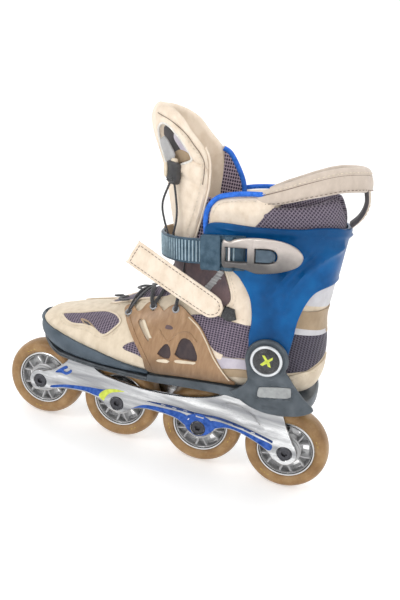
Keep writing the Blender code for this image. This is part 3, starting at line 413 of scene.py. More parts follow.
class Paint:
    """A Principled material with colour, roughness and bump worked out from the skate's own coordinates."""

    def __init__(self, name, roughness=0.5, metallic=0.0, **sockets):
        self.mat = bpy.data.materials.new(name)
        self.mat.use_nodes = True
        self.tree = self.mat.node_tree
        self.shader = self.tree.nodes["Principled BSDF"]
        self.shader.inputs["Roughness"].default_value = roughness
        self.shader.inputs["Metallic"].default_value = metallic
        for socket, value in sockets.items():
            self.shader.inputs[socket.replace("_", " ")].default_value = value
        self.coords = self.tree.nodes.new("ShaderNodeTexCoord")
        self.place = self.coords.outputs["Object"]

    def node(self, kind, inputs=(), **settings):
        """A node with its inputs set or linked, and its other settings."""
        made = self.tree.nodes.new(kind)
        for key, value in settings.items():
            setattr(made, key, value)
        for key, value in dict(inputs).items():
            if isinstance(value, bpy.types.NodeSocket):
                self.tree.links.new(value, made.inputs[key])
            else:
                made.inputs[key].default_value = value
        return made

    def stretch(self, x=1.0, y=1.0, z=1.0, turn=(0, 0, 0)):
        """The coordinates scaled and turned, for streaks and grain that run one way."""
        made = self.node("ShaderNodeMapping", {"Vector": self.place, "Scale": (x, y, z), "Rotation": turn})
        return made.outputs["Vector"]

    def noise(self, size, detail=3.0, rough=0.55, place=None):
        """Noise whose features are about size millimetres across."""
        made = self.node("ShaderNodeTexNoise", {"Vector": place or self.place, "Scale": 1000.0 / size,
            "Detail": detail, "Roughness": rough})
        return made.outputs["Fac"]

    def axis(self, name):
        """One coordinate."""
        made = self.node("ShaderNodeSeparateXYZ", {"Vector": self.place})
        return made.outputs[name]

    def math(self, operation, a, b=0.0):
        """Arithmetic on sockets or numbers."""
        made = self.node("ShaderNodeMath", {0: a, 1: b}, operation=operation)
        return made.outputs[0]

    def ramp(self, value, *stops):
        """A value turned into a colour or a grey; each stop is (position, grey or colour)."""
        made = self.node("ShaderNodeValToRGB", {"Fac": value})
        ends = made.color_ramp.elements
        while len(ends) < len(stops):
            ends.new(0.5)
        for end, (position, colour) in zip(ends, stops):
            end.position = position
            end.color = (colour, colour, colour, 1.0) if isinstance(colour, (int, float)) else (*colour,
                1.0)
        return made.outputs["Color"]

    def mix(self, factor, a, b):
        """Colour a turning into colour b as the factor goes from 0 to 1."""
        made = self.node("ShaderNodeMix", data_type="RGBA", blend_type="MIX")
        for index, value in ((0, factor), (6, a), (7, b)):
            if isinstance(value, bpy.types.NodeSocket):
                self.tree.links.new(value, made.inputs[index])
            elif index == 0:
                made.inputs[index].default_value = value
            else:
                made.inputs[index].default_value = (*value, 1.0)
        return made.outputs[2]

    def colour(self, socket):
        """Makes a socket the base colour."""
        self.tree.links.new(socket, self.shader.inputs["Base Color"])
        return self

    def rough(self, value, low, high):
        """Spreads a value over a span of roughness."""
        made = self.node("ShaderNodeMapRange", {"Value": value, "To Min": low, "To Max": high})
        self.tree.links.new(made.outputs[0], self.shader.inputs["Roughness"])
        return self

    def bumps(self, *layers):
        """Bump layers of (height socket, depth in millimetres, strength)."""
        normal = None
        for height, depth, strength in layers:
            made = self.node("ShaderNodeBump", {"Height": height, "Distance": depth * MM,
                "Strength": strength})
            if normal:
                self.tree.links.new(normal, made.inputs["Normal"])
            normal = made.outputs["Normal"]
        self.tree.links.new(normal, self.shader.inputs["Normal"])
        return self


def plain_colour(name, colour, roughness=0.5, metallic=0.0, spread=0.12, size=9.0, grain=0.35, bump=0.05,
        **more):
    """Moulded or painted stuff: slow shifts of tone, fine grain, and faint scuffs."""
    p = Paint(name, roughness, metallic, **more)
    dark = tuple(c * (1 - spread) for c in colour)
    light = tuple(min(1.0, c * (1 + spread) + 0.15 * spread) for c in colour)
    slow = p.noise(size, 4.0)
    p.colour(p.ramp(slow, (0.3, dark), (0.7, light)))
    scuff = p.noise(2.0, 6.0, 0.7, p.stretch(1.0, 1.0, 3.2, (0, 0.5, 0)))
    p.rough(scuff, max(0.03, roughness - 0.12), min(1.0, roughness + 0.14))
    p.bumps((p.noise(grain, 2.0), bump, 0.5), (scuff, bump, 0.25))
    return p.mat


def tyre_material():
    """Amber urethane: clearer and browner towards the hub, scuffed and dusty where it rolls."""
    p = Paint("amber_urethane", 0.42, Coat_Weight=0.1, Coat_Roughness=0.3, Specular_IOR_Level=0.3,
        Subsurface_Weight=0.12, Subsurface_Radius=(0.006, 0.003, 0.001))
    cloudy = p.noise(14.0, 5.0)
    base = p.ramp(cloudy, (0.25, (0.20, 0.105, 0.038)), (0.5, (0.28, 0.16, 0.064)),
        (0.75, (0.37, 0.235, 0.11)))
    dust = p.noise(1.6, 5.0, 0.7)
    base = p.mix(p.ramp(dust, (0.56, 0), (0.72, 0.45)), base, (0.46, 0.33, 0.20))
    p.colour(base)
    p.rough(dust, 0.32, 0.6)
    p.bumps((dust, 0.08, 0.5), (p.noise(0.4, 2.0), 0.03, 0.4))
    return p.mat


def metal(name, colour, roughness, size=1.0, spread=0.1):
    """Turned or pressed metal: slow shifts of tone under a fine grain."""
    p = Paint(name, roughness, 1.0)
    grain = p.noise(size, 5.0, 0.65)
    slow = p.noise(18.0, 3.0)
    base = p.ramp(slow, (0.3, tuple(c * (1 - spread) for c in colour)), (0.7, colour))
    p.colour(p.mix(0.25, base, p.ramp(grain, (0.3, tuple(c * 0.8 for c in colour)), (0.7, colour))))
    p.rough(grain, max(0.04, roughness - 0.07), roughness + 0.1)
    p.bumps((grain, 0.02, 0.35))
    return p.mat


def polished_metal():
    """Polished aluminium: painted reflections in long soft bands of bright and dull along it, fine grain, and
    small nicks.
    """
    p = Paint("polished_aluminium", 0.18, 1.0)
    # Painted reflection: long bright and dull bands in the base colour stand in for the surroundings mirrored
    # in the polished metal.
    painted_reflection_band = p.noise(7.0, 3.0, 0.5, p.stretch(0.10, 1.0, 1.0, (0, 0.06, 0)))
    base = p.ramp(painted_reflection_band, (0.32, (0.27, 0.275, 0.29)), (0.5, (0.46, 0.465, 0.475)),
        (0.66, (0.78, 0.785, 0.79)))
    grain = p.noise(1.2, 5.0, 0.65, p.stretch(0.25, 1.0, 1.0))
    base = p.mix(p.ramp(grain, (0.45, 0), (0.75, 0.35)), base, (0.30, 0.305, 0.32))
    nick = p.noise(0.9, 4.0, 0.7, p.stretch(0.6, 1.0, 2.0, (0, 0.7, 0)))
    base = p.mix(p.ramp(nick, (0.68, 0), (0.76, 0.6)), base, (0.16, 0.16, 0.17))
    p.colour(base)
    p.rough(grain, 0.12, 0.32)
    p.bumps((grain, 0.02, 0.35), (painted_reflection_band, 0.25, 0.3))
    return p.mat


def suede(name, light, dark, stain, amount=0.35):
    """Nubuck: short nap, brushed patches, and soiling in soft clouds."""
    p = Paint(name, 0.93, Sheen_Weight=0.25, Sheen_Roughness=0.6, Specular_IOR_Level=0.25)
    nap = p.noise(7.0, 5.0, 0.6, p.stretch(1.0, 1.0, 0.55, (0, 0.4, 0)))
    base = p.ramp(nap, (0.3, dark), (0.62, light))
    fine = p.noise(0.55, 3.0, 0.6)
    base = p.mix(p.ramp(fine, (0.35, 0), (0.75, 0.22)), base, dark)
    soil = p.noise(24.0, 6.0, 0.62)
    base = p.mix(p.ramp(soil, (0.5, 0), (0.74, amount)), base, stain)
    p.colour(base)
    p.bumps((fine, 0.25, 0.5), (p.noise(3.0, 4.0), 0.3, 0.25))
    return p.mat


def mesh_cloth(name, thread, hole, gleam, pitch=(2.5, 2.1), along=("X", "Z"), turn=0.0, panel=False):
    """Open knitted mesh: staggered round holes between threads flecked with painted highlights, along its own
    panel or in space.
    """
    p = Paint(name, 0.7, Sheen_Weight=0.15, Sheen_Roughness=0.5, Specular_IOR_Level=0.35)
    if panel:
        p.place = p.node("ShaderNodeAttribute", attribute_name="panel_place").outputs["Vector"]
    c, s = math.cos(turn), math.sin(turn)
    a, b = p.axis(along[0]), p.axis(along[1])
    if not panel:
        b = p.math("SUBTRACT", b, p.math("ABSOLUTE", p.axis("Y")))
    u = p.math("ADD", p.math("MULTIPLY", a, c), p.math("MULTIPLY", b, s))
    v = p.math("ADD", p.math("MULTIPLY", a, -s), p.math("MULTIPLY", b, c))
    wave_u = p.math("COSINE", p.math("MULTIPLY", u, 2 * math.pi * 1000.0 / (2 * pitch[0])))
    wave_v = p.math("COSINE", p.math("MULTIPLY", v, 2 * math.pi * 1000.0 / (2 * pitch[1])))
    open_part = p.math("ABSOLUTE", p.math("MULTIPLY", wave_u, wave_v))
    fleck = p.noise(1.3, 3.0)
    base = p.ramp(p.noise(10.0, 3.0), (0.35, thread), (0.7, tuple(1.12 * t for t in thread)))
    # Painted highlight: flecks of the paler gleam colour stand in for light glinting on the threads.
    base = p.mix(p.ramp(fleck, (0.45, 0), (0.62, 0.55)), base, gleam)
    base = p.mix(p.ramp(open_part, (0.30, 0), (0.50, 1)), base, hole)
    p.colour(base)
    depth = p.ramp(open_part, (0.22, 1), (0.52, 0))
    p.bumps((depth, 0.6, 0.6), (fleck, 0.1, 0.3))
    return p.mat


def cuff_material():
    """Blue moulding: a soft sheen, painted shade darkening its lower part and its top band, with pale scuffs
    and scratches.
    """
    p = Paint("cuff_blue", 0.27, Coat_Weight=0.12, Coat_Roughness=0.1, Specular_IOR_Level=0.12)
    slow = p.noise(34.0, 3.0)
    base = p.ramp(slow, (0.28, (0.0006, 0.040, 0.135)), (0.5, (0.0012, 0.088, 0.28)),
        (0.75, (0.003, 0.15, 0.42)))
    # Painted shade by height: the lower part and the top band of the cuff are darkened and the middle is left
    # lighter, for how the light falls on it.
    height = p.math("MULTIPLY", p.math("SUBTRACT", p.axis("Z"), 0.11), 7.1)
    deep = p.ramp(height, (0, 0.75), (0.26, 0.6), (0.42, 0.1), (0.76, 0.1), (0.9, 0.6))
    base = p.mix(deep, base, (0.001, 0.040, 0.125))
    scratch = p.noise(1.5, 6.0, 0.75, p.stretch(0.35, 1.0, 2.6, (0, 0.6, 0)))
    base = p.mix(p.ramp(scratch, (0.60, 0), (0.73, 0.25)), base, (0.07, 0.20, 0.40))
    rub = p.noise(9.0, 5.0, 0.7)
    base = p.mix(p.ramp(rub, (0.58, 0), (0.80, 0.30)), base, (0.02, 0.15, 0.38))
    p.colour(base)
    p.rough(scratch, 0.26, 0.5)
    p.bumps((scratch, 0.05, 0.4), (p.noise(0.5, 2.0), 0.03, 0.4))
    return p.mat


def lever_material():
    """Silver-beige lacquer, with a painted highlight along the upper edge and painted shade below."""
    p = Paint("lever_silver_beige", 0.3, 0.45)
    # Painted highlight and shade: pale towards the top and dark towards the bottom, for how the light falls
    # on the rounded lever.
    height = p.math("MULTIPLY", p.math("SUBTRACT", p.axis("Z"), 0.209), 40.0)
    wander = p.math("MULTIPLY", p.math("SUBTRACT", p.noise(14.0, 3.0), 0.5), 0.5)
    painted_light_by_height = p.math("ADD", height, wander)
    base = p.ramp(painted_light_by_height, (0.15, (0.10, 0.094, 0.092)), (0.5, (0.24, 0.22, 0.207)),
        (0.85, (0.52, 0.465, 0.43)))
    scuff = p.noise(1.6, 6.0, 0.7, p.stretch(0.5, 1.0, 2.0))
    base = p.mix(p.ramp(scuff, (0.58, 0), (0.74, 0.35)), base, (0.24, 0.20, 0.18))
    p.colour(base)
    p.rough(scuff, 0.2, 0.42)
    p.bumps((scuff, 0.05, 0.35))
    return p.mat


def cage_material():
    """Smoked tan moulding, a little clear, with paler flow lines running down it."""
    p = Paint("tan_clear", 0.34, Specular_IOR_Level=0.3, Subsurface_Weight=0.1,
        Subsurface_Radius=(0.004, 0.002, 0.001))
    flow = p.noise(6.0, 4.0, 0.6, p.stretch(1.6, 1.0, 0.35, (0, -0.45, 0)))
    base = p.ramp(flow, (0.25, (0.26, 0.15, 0.078)), (0.55, (0.345, 0.21, 0.115)),
        (0.8, (0.45, 0.295, 0.175)))
    low = p.math("MULTIPLY", p.math("SUBTRACT", p.axis("Z"), 0.094), 40.0)
    base = p.mix(p.ramp(low, (0, 0.72), (0.75, 0)), base, (0.045, 0.032, 0.022))
    p.colour(base)
    p.rough(p.noise(3.0, 5.0, 0.7), 0.22, 0.42)
    p.bumps((flow, 0.15, 0.3), (p.noise(0.6, 2.0), 0.03, 0.3))
    return p.mat


BRAID_SCALE = 200.0


def braid(name, colour):
    """A braided lace: two sets of crossing threads."""
    p = Paint(name, 0.75, Sheen_Weight=0.3)
    waves = []
    for turn in (0.7, -0.7):
        made = p.node("ShaderNodeTexWave", {"Vector": p.stretch(1, 1, 1, (0.0, turn, 0.3)),
            "Scale": BRAID_SCALE, "Distortion": 0.4}, wave_type="BANDS", bands_direction="X")
        waves.append(made.outputs["Fac"])
    cross = p.math("MAXIMUM", *waves)
    p.colour(p.ramp(cross, (0.2, tuple(0.4 * c for c in colour)), (0.9, colour)))
    p.bumps((cross, 0.25, 0.6))
    return p.mat


TYRE = tyre_material()
PRINT_YELLOW = plain_colour("tyre_print", (0.62, 0.50, 0.03), 0.6, spread=0.3, size=3.0)
HUB = plain_colour("hub_grey", (0.42, 0.42, 0.425), 0.36, 0.25, spread=0.08)
HUB_BRIGHT = metal("hub_ring_silver", (0.64, 0.64, 0.64), 0.22, size=1.5)
# Painted shadow: a near-black ring laid in the hub's grooves, where only shade falls.
SHADOW_RING = plain_colour("painted_shadow_ring", (0.02, 0.021, 0.023), 0.5)
STEEL = metal("ground_steel", (0.56, 0.56, 0.57), 0.28, size=0.6)
BOLT = metal("dark_steel", (0.09, 0.09, 0.10), 0.38, size=0.8, spread=0.3)
ALUMINIUM = polished_metal()
BLUE_FILM = plain_colour("blue_film", (0.003, 0.062, 0.32), 0.42, spread=0.3, size=4.0,
    Specular_IOR_Level=0.2)
NAVY_FILM = plain_colour("navy_film", (0.004, 0.03, 0.14), 0.4, spread=0.25, size=5.0,
    Specular_IOR_Level=0.2)
LIME_FILM = plain_colour("lime_film", (0.55, 0.62, 0.05), 0.4, spread=0.2, size=4.0)
CHARCOAL = plain_colour("charcoal_plastic", (0.030, 0.044, 0.058), 0.42, spread=0.3, size=16.0, bump=0.08)
PANEL_GREY = plain_colour("panel_grey", (0.30, 0.31, 0.31), 0.5, spread=0.15, size=4.0)
RING_SILVER = plain_colour("ring_silver", (0.62, 0.64, 0.66), 0.3, 0.4, spread=0.08)
GLOSS_BLACK = plain_colour("gloss_black", (0.012, 0.013, 0.015), 0.25, spread=0.3)
RAND = plain_colour("rand_rubber", (0.028, 0.05, 0.073), 0.52, spread=0.25, size=20.0, grain=0.5, bump=0.12)
SOLE = plain_colour("sole_rubber", (0.028, 0.036, 0.044), 0.6, spread=0.3, size=8.0, grain=0.6, bump=0.15)
SUEDE = suede("beige_suede", (0.715, 0.615, 0.48), (0.60, 0.50, 0.37), (0.42, 0.325, 0.22), 0.45)
SUEDE_PALE = suede("pale_suede", (0.82, 0.71, 0.585), (0.71, 0.585, 0.455), (0.50, 0.385, 0.27), 0.46)
SUEDE_GREY = suede("grey_beige_suede", (0.60, 0.51, 0.435), (0.50, 0.42, 0.35), (0.38, 0.31, 0.25), 0.4)
TAN_SUEDE = suede("tan_suede", (0.40, 0.295, 0.19), (0.32, 0.23, 0.14), (0.24, 0.17, 0.10))
LILAC = suede("lilac_trim", (0.56, 0.52, 0.58), (0.45, 0.41, 0.48), (0.36, 0.31, 0.35))
WHITE_TRIM = suede("white_trim", (0.60, 0.595, 0.62), (0.50, 0.49, 0.51), (0.42, 0.38, 0.36))
MESH_SIDE = mesh_cloth("purple_mesh_side", (0.19, 0.15, 0.20), (0.028, 0.021, 0.04), (0.33, 0.26, 0.32))
MESH_HEEL = mesh_cloth("purple_mesh_heel", (0.082, 0.072, 0.10), (0.02, 0.016, 0.028), (0.13, 0.11, 0.14))
MESH_TONGUE = mesh_cloth("purple_mesh_tongue", (0.36, 0.29, 0.36), (0.035, 0.025, 0.05), (0.52, 0.43, 0.50),
    (2.2, 2.9))
MESH_BACK = mesh_cloth("purple_mesh_back", (0.18, 0.15, 0.195), (0.035, 0.027, 0.045), (0.29, 0.24, 0.29),
    along=("X", "Y"), turn=0.5, panel=True)
FLAP = suede("smooth_flap", (0.165, 0.105, 0.105), (0.08, 0.06, 0.07), (0.045, 0.038, 0.05), 0.5)
LINING = suede("dark_lining", (0.07, 0.065, 0.07), (0.045, 0.04, 0.045), (0.03, 0.03, 0.03))
PIPING = plain_colour("blue_piping", (0.0015, 0.125, 0.60), 0.75, spread=0.2, size=3.0, grain=0.5,
    bump=0.12)
CUFF_BLUE = cuff_material()
CAGE_TAN = cage_material()
UNDER_CAGE = suede("under_cage", (0.085, 0.058, 0.058), (0.04, 0.03, 0.034), (0.02, 0.016, 0.02), 0.5)
CREAM = plain_colour("cream_lip", (0.66, 0.56, 0.42), 0.45, spread=0.12)
LADDER = plain_colour("ladder_blue_grey", (0.022, 0.062, 0.10), 0.36, spread=0.25, size=6.0,
    Specular_IOR_Level=0.3)
# Painted highlight: the ladder's ridges get a pale colour that stands in for light catching their crests.
LADDER_RIDGE_HIGHLIGHT = plain_colour("ladder_ridge_highlight", (0.27, 0.37, 0.43), 0.35, spread=0.2, size=3.0)
LEVER = lever_material()
BUTTON = plain_colour("button_blue_grey", (0.03, 0.062, 0.095), 0.35, spread=0.25)
THREAD = plain_colour("thread", (0.66, 0.58, 0.46), 0.8, spread=0.2, size=2.0)
DARK_THREAD = plain_colour("dark_thread", (0.16, 0.115, 0.085), 0.8, spread=0.2, size=2.0)
LACE = braid("black_lace", (0.045, 0.045, 0.05))
BLACK_PLASTIC = plain_colour("black_plastic", (0.014, 0.014, 0.016), 0.34, spread=0.3)
CLIP_GREY = plain_colour("clip_grey", (0.34, 0.335, 0.335), 0.35, spread=0.15)
EYELET = metal("eyelet_steel", (0.30, 0.30, 0.31), 0.3, size=0.6)
WHITE_BINDING = plain_colour("white_binding", (0.70, 0.67, 0.62), 0.8, spread=0.15, size=3.0, grain=0.4,
    bump=0.15)


# ---------------------------------------------------------------- surfaces that panels lie on

class Wrap:
    """A surface round an upright form. A place on it is s, the distance round it, and z, its height."""

    def __init__(self, ring, z0, z1, levels=90, reach=190.0):
        self.z = np.linspace(z0, z1, levels)
        self.s = np.linspace(-reach, reach, 381)
        turns = np.linspace(-math.pi, math.pi, 721)
        grid = []
        for z in self.z:
            xy = ring(z, turns)
            run = np.concatenate([[0], np.cumsum(np.linalg.norm(np.diff(xy, axis=0), axis=1))])
            run -= run[360]
            grid.append(np.column_stack([np.interp(self.s, run, xy[:, 0]), np.interp(self.s, run, xy[:, 1]),
                np.full(len(self.s), z)]))
        self.grid = np.array(grid)
        down, around = np.gradient(self.grid, axis=(0, 1))
        normal = np.cross(around, down)
        normal /= np.maximum(np.linalg.norm(normal, axis=2), 1e-9)[..., None]
        mid = self.grid.mean(axis=1)[:, None, :]
        if ((self.grid - mid) * normal)[:, 190].sum() < 0:
            normal = -normal
        self.normal = normal

    def _at(self, table, s, z):
        """A table of the surface read between its grid's points."""
        i = np.clip((np.asarray(s) - self.s[0]) / (self.s[1] - self.s[0]), 0, len(self.s) - 1.001)
        j = np.clip((np.asarray(z) - self.z[0]) / (self.z[1] - self.z[0]), 0, len(self.z) - 1.001)
        i0, j0 = i.astype(int), j.astype(int)
        fi, fj = (i - i0)[:, None], (j - j0)[:, None]
        return ((table[j0, i0] * (1 - fi) + table[j0, i0 + 1] * fi) * (1 - fj)
            + (table[j0 + 1, i0] * (1 - fi) + table[j0 + 1, i0 + 1] * fi) * fj)

    def place(self, base=0.0):
        """A relief's place function for panels lying base above the surface."""
        def put(points, h):
            return (self._at(self.grid, points[:, 0], points[:, 1]) + self._at(self.normal, points[:, 0],
                points[:, 1]) * (h + base)[:, None])
        return put

    def flat(self, points, side):
        """The (s, z) places of (x, z) points on one side: -1 is the buckle side."""
        out = []
        for x, z in points:
            j = int(np.clip(round((z - self.z[0]) / (self.z[1] - self.z[0])), 0, len(self.z) - 1))
            row = self.grid[j]
            half = row[190:] if side < 0 else row[190::-1]
            xs, run = half[:, 0], self.s[190:]
            last = int(np.argmin(xs)) if xs[0] > xs[60] else int(np.argmax(xs))
            xs, run = xs[:last + 1], run[:last + 1]
            order = np.argsort(xs)
            out.append((-side * float(np.interp(x, xs[order], run[order])), z))
        return out

    def along(self, points, base=0.0):
        """A smooth line of places in space through (s, z) points."""
        path = line(points)
        return self.place(base)(path, np.zeros(len(path)))


def table_at(table, z):
    """The other columns of a table at a height, eased between its rows."""
    rows = np.array(table)
    zs = rows[:, 0]
    z = min(max(z, zs[0]), zs[-1])
    i = int(np.clip(np.searchsorted(zs, z) - 1, 0, len(zs) - 2))
    t = (z - zs[i]) / (zs[i + 1] - zs[i])
    a = rows[i - 1] if i > 0 else 2 * rows[0] - rows[1]
    d = rows[i + 2] if i + 2 < len(rows) else 2 * rows[-1] - rows[-2]
    return catmull(a, rows[i], rows[i + 1], d, t)[1:]


def shaft_ring(z, turns):
    """The ankle in plan, from the back round the buckle side."""
    back, half, square = table_at(SHAFT, z)
    middle = 0.5 * (SHAFT_FRONT + back)
    return np.column_stack([middle + (back - middle) * power(np.cos(turns), square),
        -half * power(np.sin(turns), square)])


def tongue_ring(z, turns):
    """The tongue in plan, from the front round the buckle side."""
    front, half = table_at(TONGUE, z)
    return np.column_stack([front + (half + 8.0) * (1 - np.cos(turns)), -half * np.sin(turns)])


def foot_section(t):
    """A foot section between those of the table, t counting them."""
    rows = np.array([(*a, *b, *rest) for a, b, *rest in FOOT])
    i = int(min(max(t, 0), len(rows) - 1.0001))
    a = rows[i - 1] if i > 0 else 2 * rows[0] - rows[1]
    d = rows[i + 2] if i + 2 < len(rows) else 2 * rows[-1] - rows[-2]
    return catmull(a, rows[i], rows[i + 1], d, t - i)


def foot_ring(t, grow=0.0, points=72):
    """The foot's outside at a section, moved out by grow."""
    bx, bz, tx, tz, outer, inner, share, low, high = foot_section(t)
    base = np.array([bx, bz])
    up = np.array([tx - bx, tz - bz])
    height = np.linalg.norm(up)
    up /= height
    centre = base + up * height * share
    angles = spin(points)
    c, s = np.cos(angles), np.sin(angles)
    upper = s >= 0
    reach = np.where(upper, height * (1 - share), height * share) + grow
    rise = np.where(upper, power(s, high), power(s, low)) * reach
    wide = np.where(upper, power(c, high), power(c, low)) * (np.where(c >= 0, inner, outer) + grow)
    return np.column_stack([centre[0] + up[0] * rise, wide, centre[1] + up[1] * rise])


def foot_rings(grow, first=0.0, last=len(FOOT) - 1.0, count=70):
    """Rings along the foot, drawn in at the very toe."""
    rings = [foot_ring(t, grow) for t in np.linspace(first, last, count)]
    if first == 0.0:
        tip = rings[0]
        middle = tip.mean(axis=0)
        rings[0] = middle + (tip - middle) * 0.55 + np.array([-2.2 - 0.5 * grow, 0, 0])
        rings.insert(1, middle + (tip - middle) * 0.85 + np.array([-1.4 - 0.5 * grow, 0, 0]))
    return rings


def surface_tree(rings):
    """A search tree over a lofted surface."""
    verts, faces = ring_faces(rings)
    return BVHTree.FromPolygons([Vector(p) for p in verts], faces)


ANKLE = Wrap(shaft_ring, 112.0, 300.0)
SHIN = Wrap(tongue_ring, 192.0, 326.0, reach=110.0)
FOOT_TREE = surface_tree(foot_rings(0.0))


def on_foot(side, base=0.0):
    """A place function for (x, z) points on one side of the foot, seen square from that side."""
    def put(points, h):
        out = []
        for (x, z), rise in zip(points, h):
            hit, normal, _, _ = FOOT_TREE.ray_cast(Vector((x, side * 120.0, z)), Vector((0, -side, 0)))
            if hit is None:
                hit, normal, _, _ = FOOT_TREE.find_nearest(Vector((x, side * 20.0, z)))
            if normal.y * side < 0:
                normal = -normal
            out.append(hit + normal * (rise + base))
        return np.array(out)
    return put


def on_instep(base=0.0):
    """A place function for (x, y) points on the top of the foot, seen from above."""
    def put(points, h):
        out = []
        for (x, y), rise in zip(points, h):
            hit, normal, _, _ = FOOT_TREE.ray_cast(Vector((x, y, 260.0)), Vector((0, 0, -1)))
            if hit is None:
                hit, normal, _, _ = FOOT_TREE.find_nearest(Vector((x, y, 150.0)))
            if normal.z < 0:
                normal = -normal
            out.append(hit + normal * (rise + base))
        return np.array(out)
    return put


def upright_at(y, side):
    """A place function for (x, z) points on an upright plane facing one side."""
    def put(points, h):
        return np.column_stack([points[:, 0], side * (y + h), points[:, 1]])
    return put


# ---------------------------------------------------------------- camera, light and stage

def build_camera():
    """A camera at the toe end of the buckle side, looking down a little and rolled."""
    camera = bpy.data.cameras.new("camera")
    place = (0.1331, -0.5084, 0.3261)
    camera.lens = 36.0
    camera.sensor_width = 36.0
    camera.clip_start = 0.02
    azimuth, elevation, roll = (math.radians(a) for a in (12.77, 18, 10.27))
    back = Vector((math.sin(azimuth) * math.cos(elevation), -math.cos(azimuth) * math.cos(elevation),
        math.sin(elevation)))
    right = (-back).cross(Vector((0, 0, 1))).normalized()
    up = right.cross(-back)
    across = right * math.cos(roll) + up * math.sin(roll)
    upward = up * math.cos(roll) - right * math.sin(roll)
    obj = bpy.data.objects.new("camera", camera)
    obj.matrix_world = Matrix(((across.x, upward.x, back.x, place[0]),
        (across.y, upward.y, back.y, place[1]), (across.z, upward.z, back.z, place[2]), (0, 0, 0, 1)))
    bpy.context.scene.collection.objects.link(obj)
    bpy.context.scene.camera = obj


def build_light():
    """Four soft lamps and a white surround."""
    def softbox(name, place, size, watts):
        lamp = bpy.data.lights.new(name, "AREA")
        lamp.shape = "RECTANGLE"
        lamp.size, lamp.size_y = size
        lamp.energy = watts
        obj = bpy.data.objects.new(name, lamp)
        obj.location = place
        aim = Vector((0.0, 0.0, 0.14)) - Vector(place)
        obj.rotation_mode = "QUATERNION"
        obj.rotation_quaternion = aim.to_track_quat("-Z", "Y")
        bpy.context.scene.collection.objects.link(obj)

    softbox("key", (-0.7, -1, 1.15), (0.7, 0.5), 6.0)
    softbox("fill", (1.15, -0.9, 0.55), (0.8, 0.9), 1.2)
    softbox("top", (0.05, 0.1, 1.5), (0.7, 0.5), 5.4)
    softbox("back", (0.3, 1.2, 0.9), (1.1, 0.7), 3.0)
    world = bpy.data.worlds.new("studio")
    world.use_nodes = True
    world.node_tree.nodes["Background"].inputs["Color"].default_value = (1, 1, 1, 1)
    world.node_tree.nodes["Background"].inputs["Strength"].default_value = 0.22
    bpy.context.scene.world = world
    bpy.context.scene.view_settings.view_transform = "Standard"


def build_stage():
    """A pale floor that rises into a wall all round, like a photographer's sweep."""
    paint = Paint("studio_floor", 0.75, Emission_Color=(1.0, 1.0, 1.0, 1.0), Emission_Strength=0.38)
    paint.colour(paint.ramp(paint.noise(400.0, 2.0), (0.3, (0.79, 0.79, 0.79)), (0.7, (0.81, 0.81, 0.81))))
    floor_radius, cove, wall_top, drop = 1800.0, 500.0, 3200.0, 0.3
    profile = [(0.01, 0), (floor_radius / 2, 0), (floor_radius, 0)]
    profile += [(floor_radius + cove * math.sin(a), cove * (1 - math.cos(a)))
        for a in np.radians(range(10, 91, 10))]
    profile.append((floor_radius + cove, wall_top))
    angles = spin(64)
    rings = [np.column_stack([r * np.cos(angles), r * np.sin(angles), np.full(len(angles), z - drop)])
        for r, z in profile]
    floor = loft("studio_sweep", rings, paint.mat, caps=False)


# ---------------------------------------------------------------- wheels

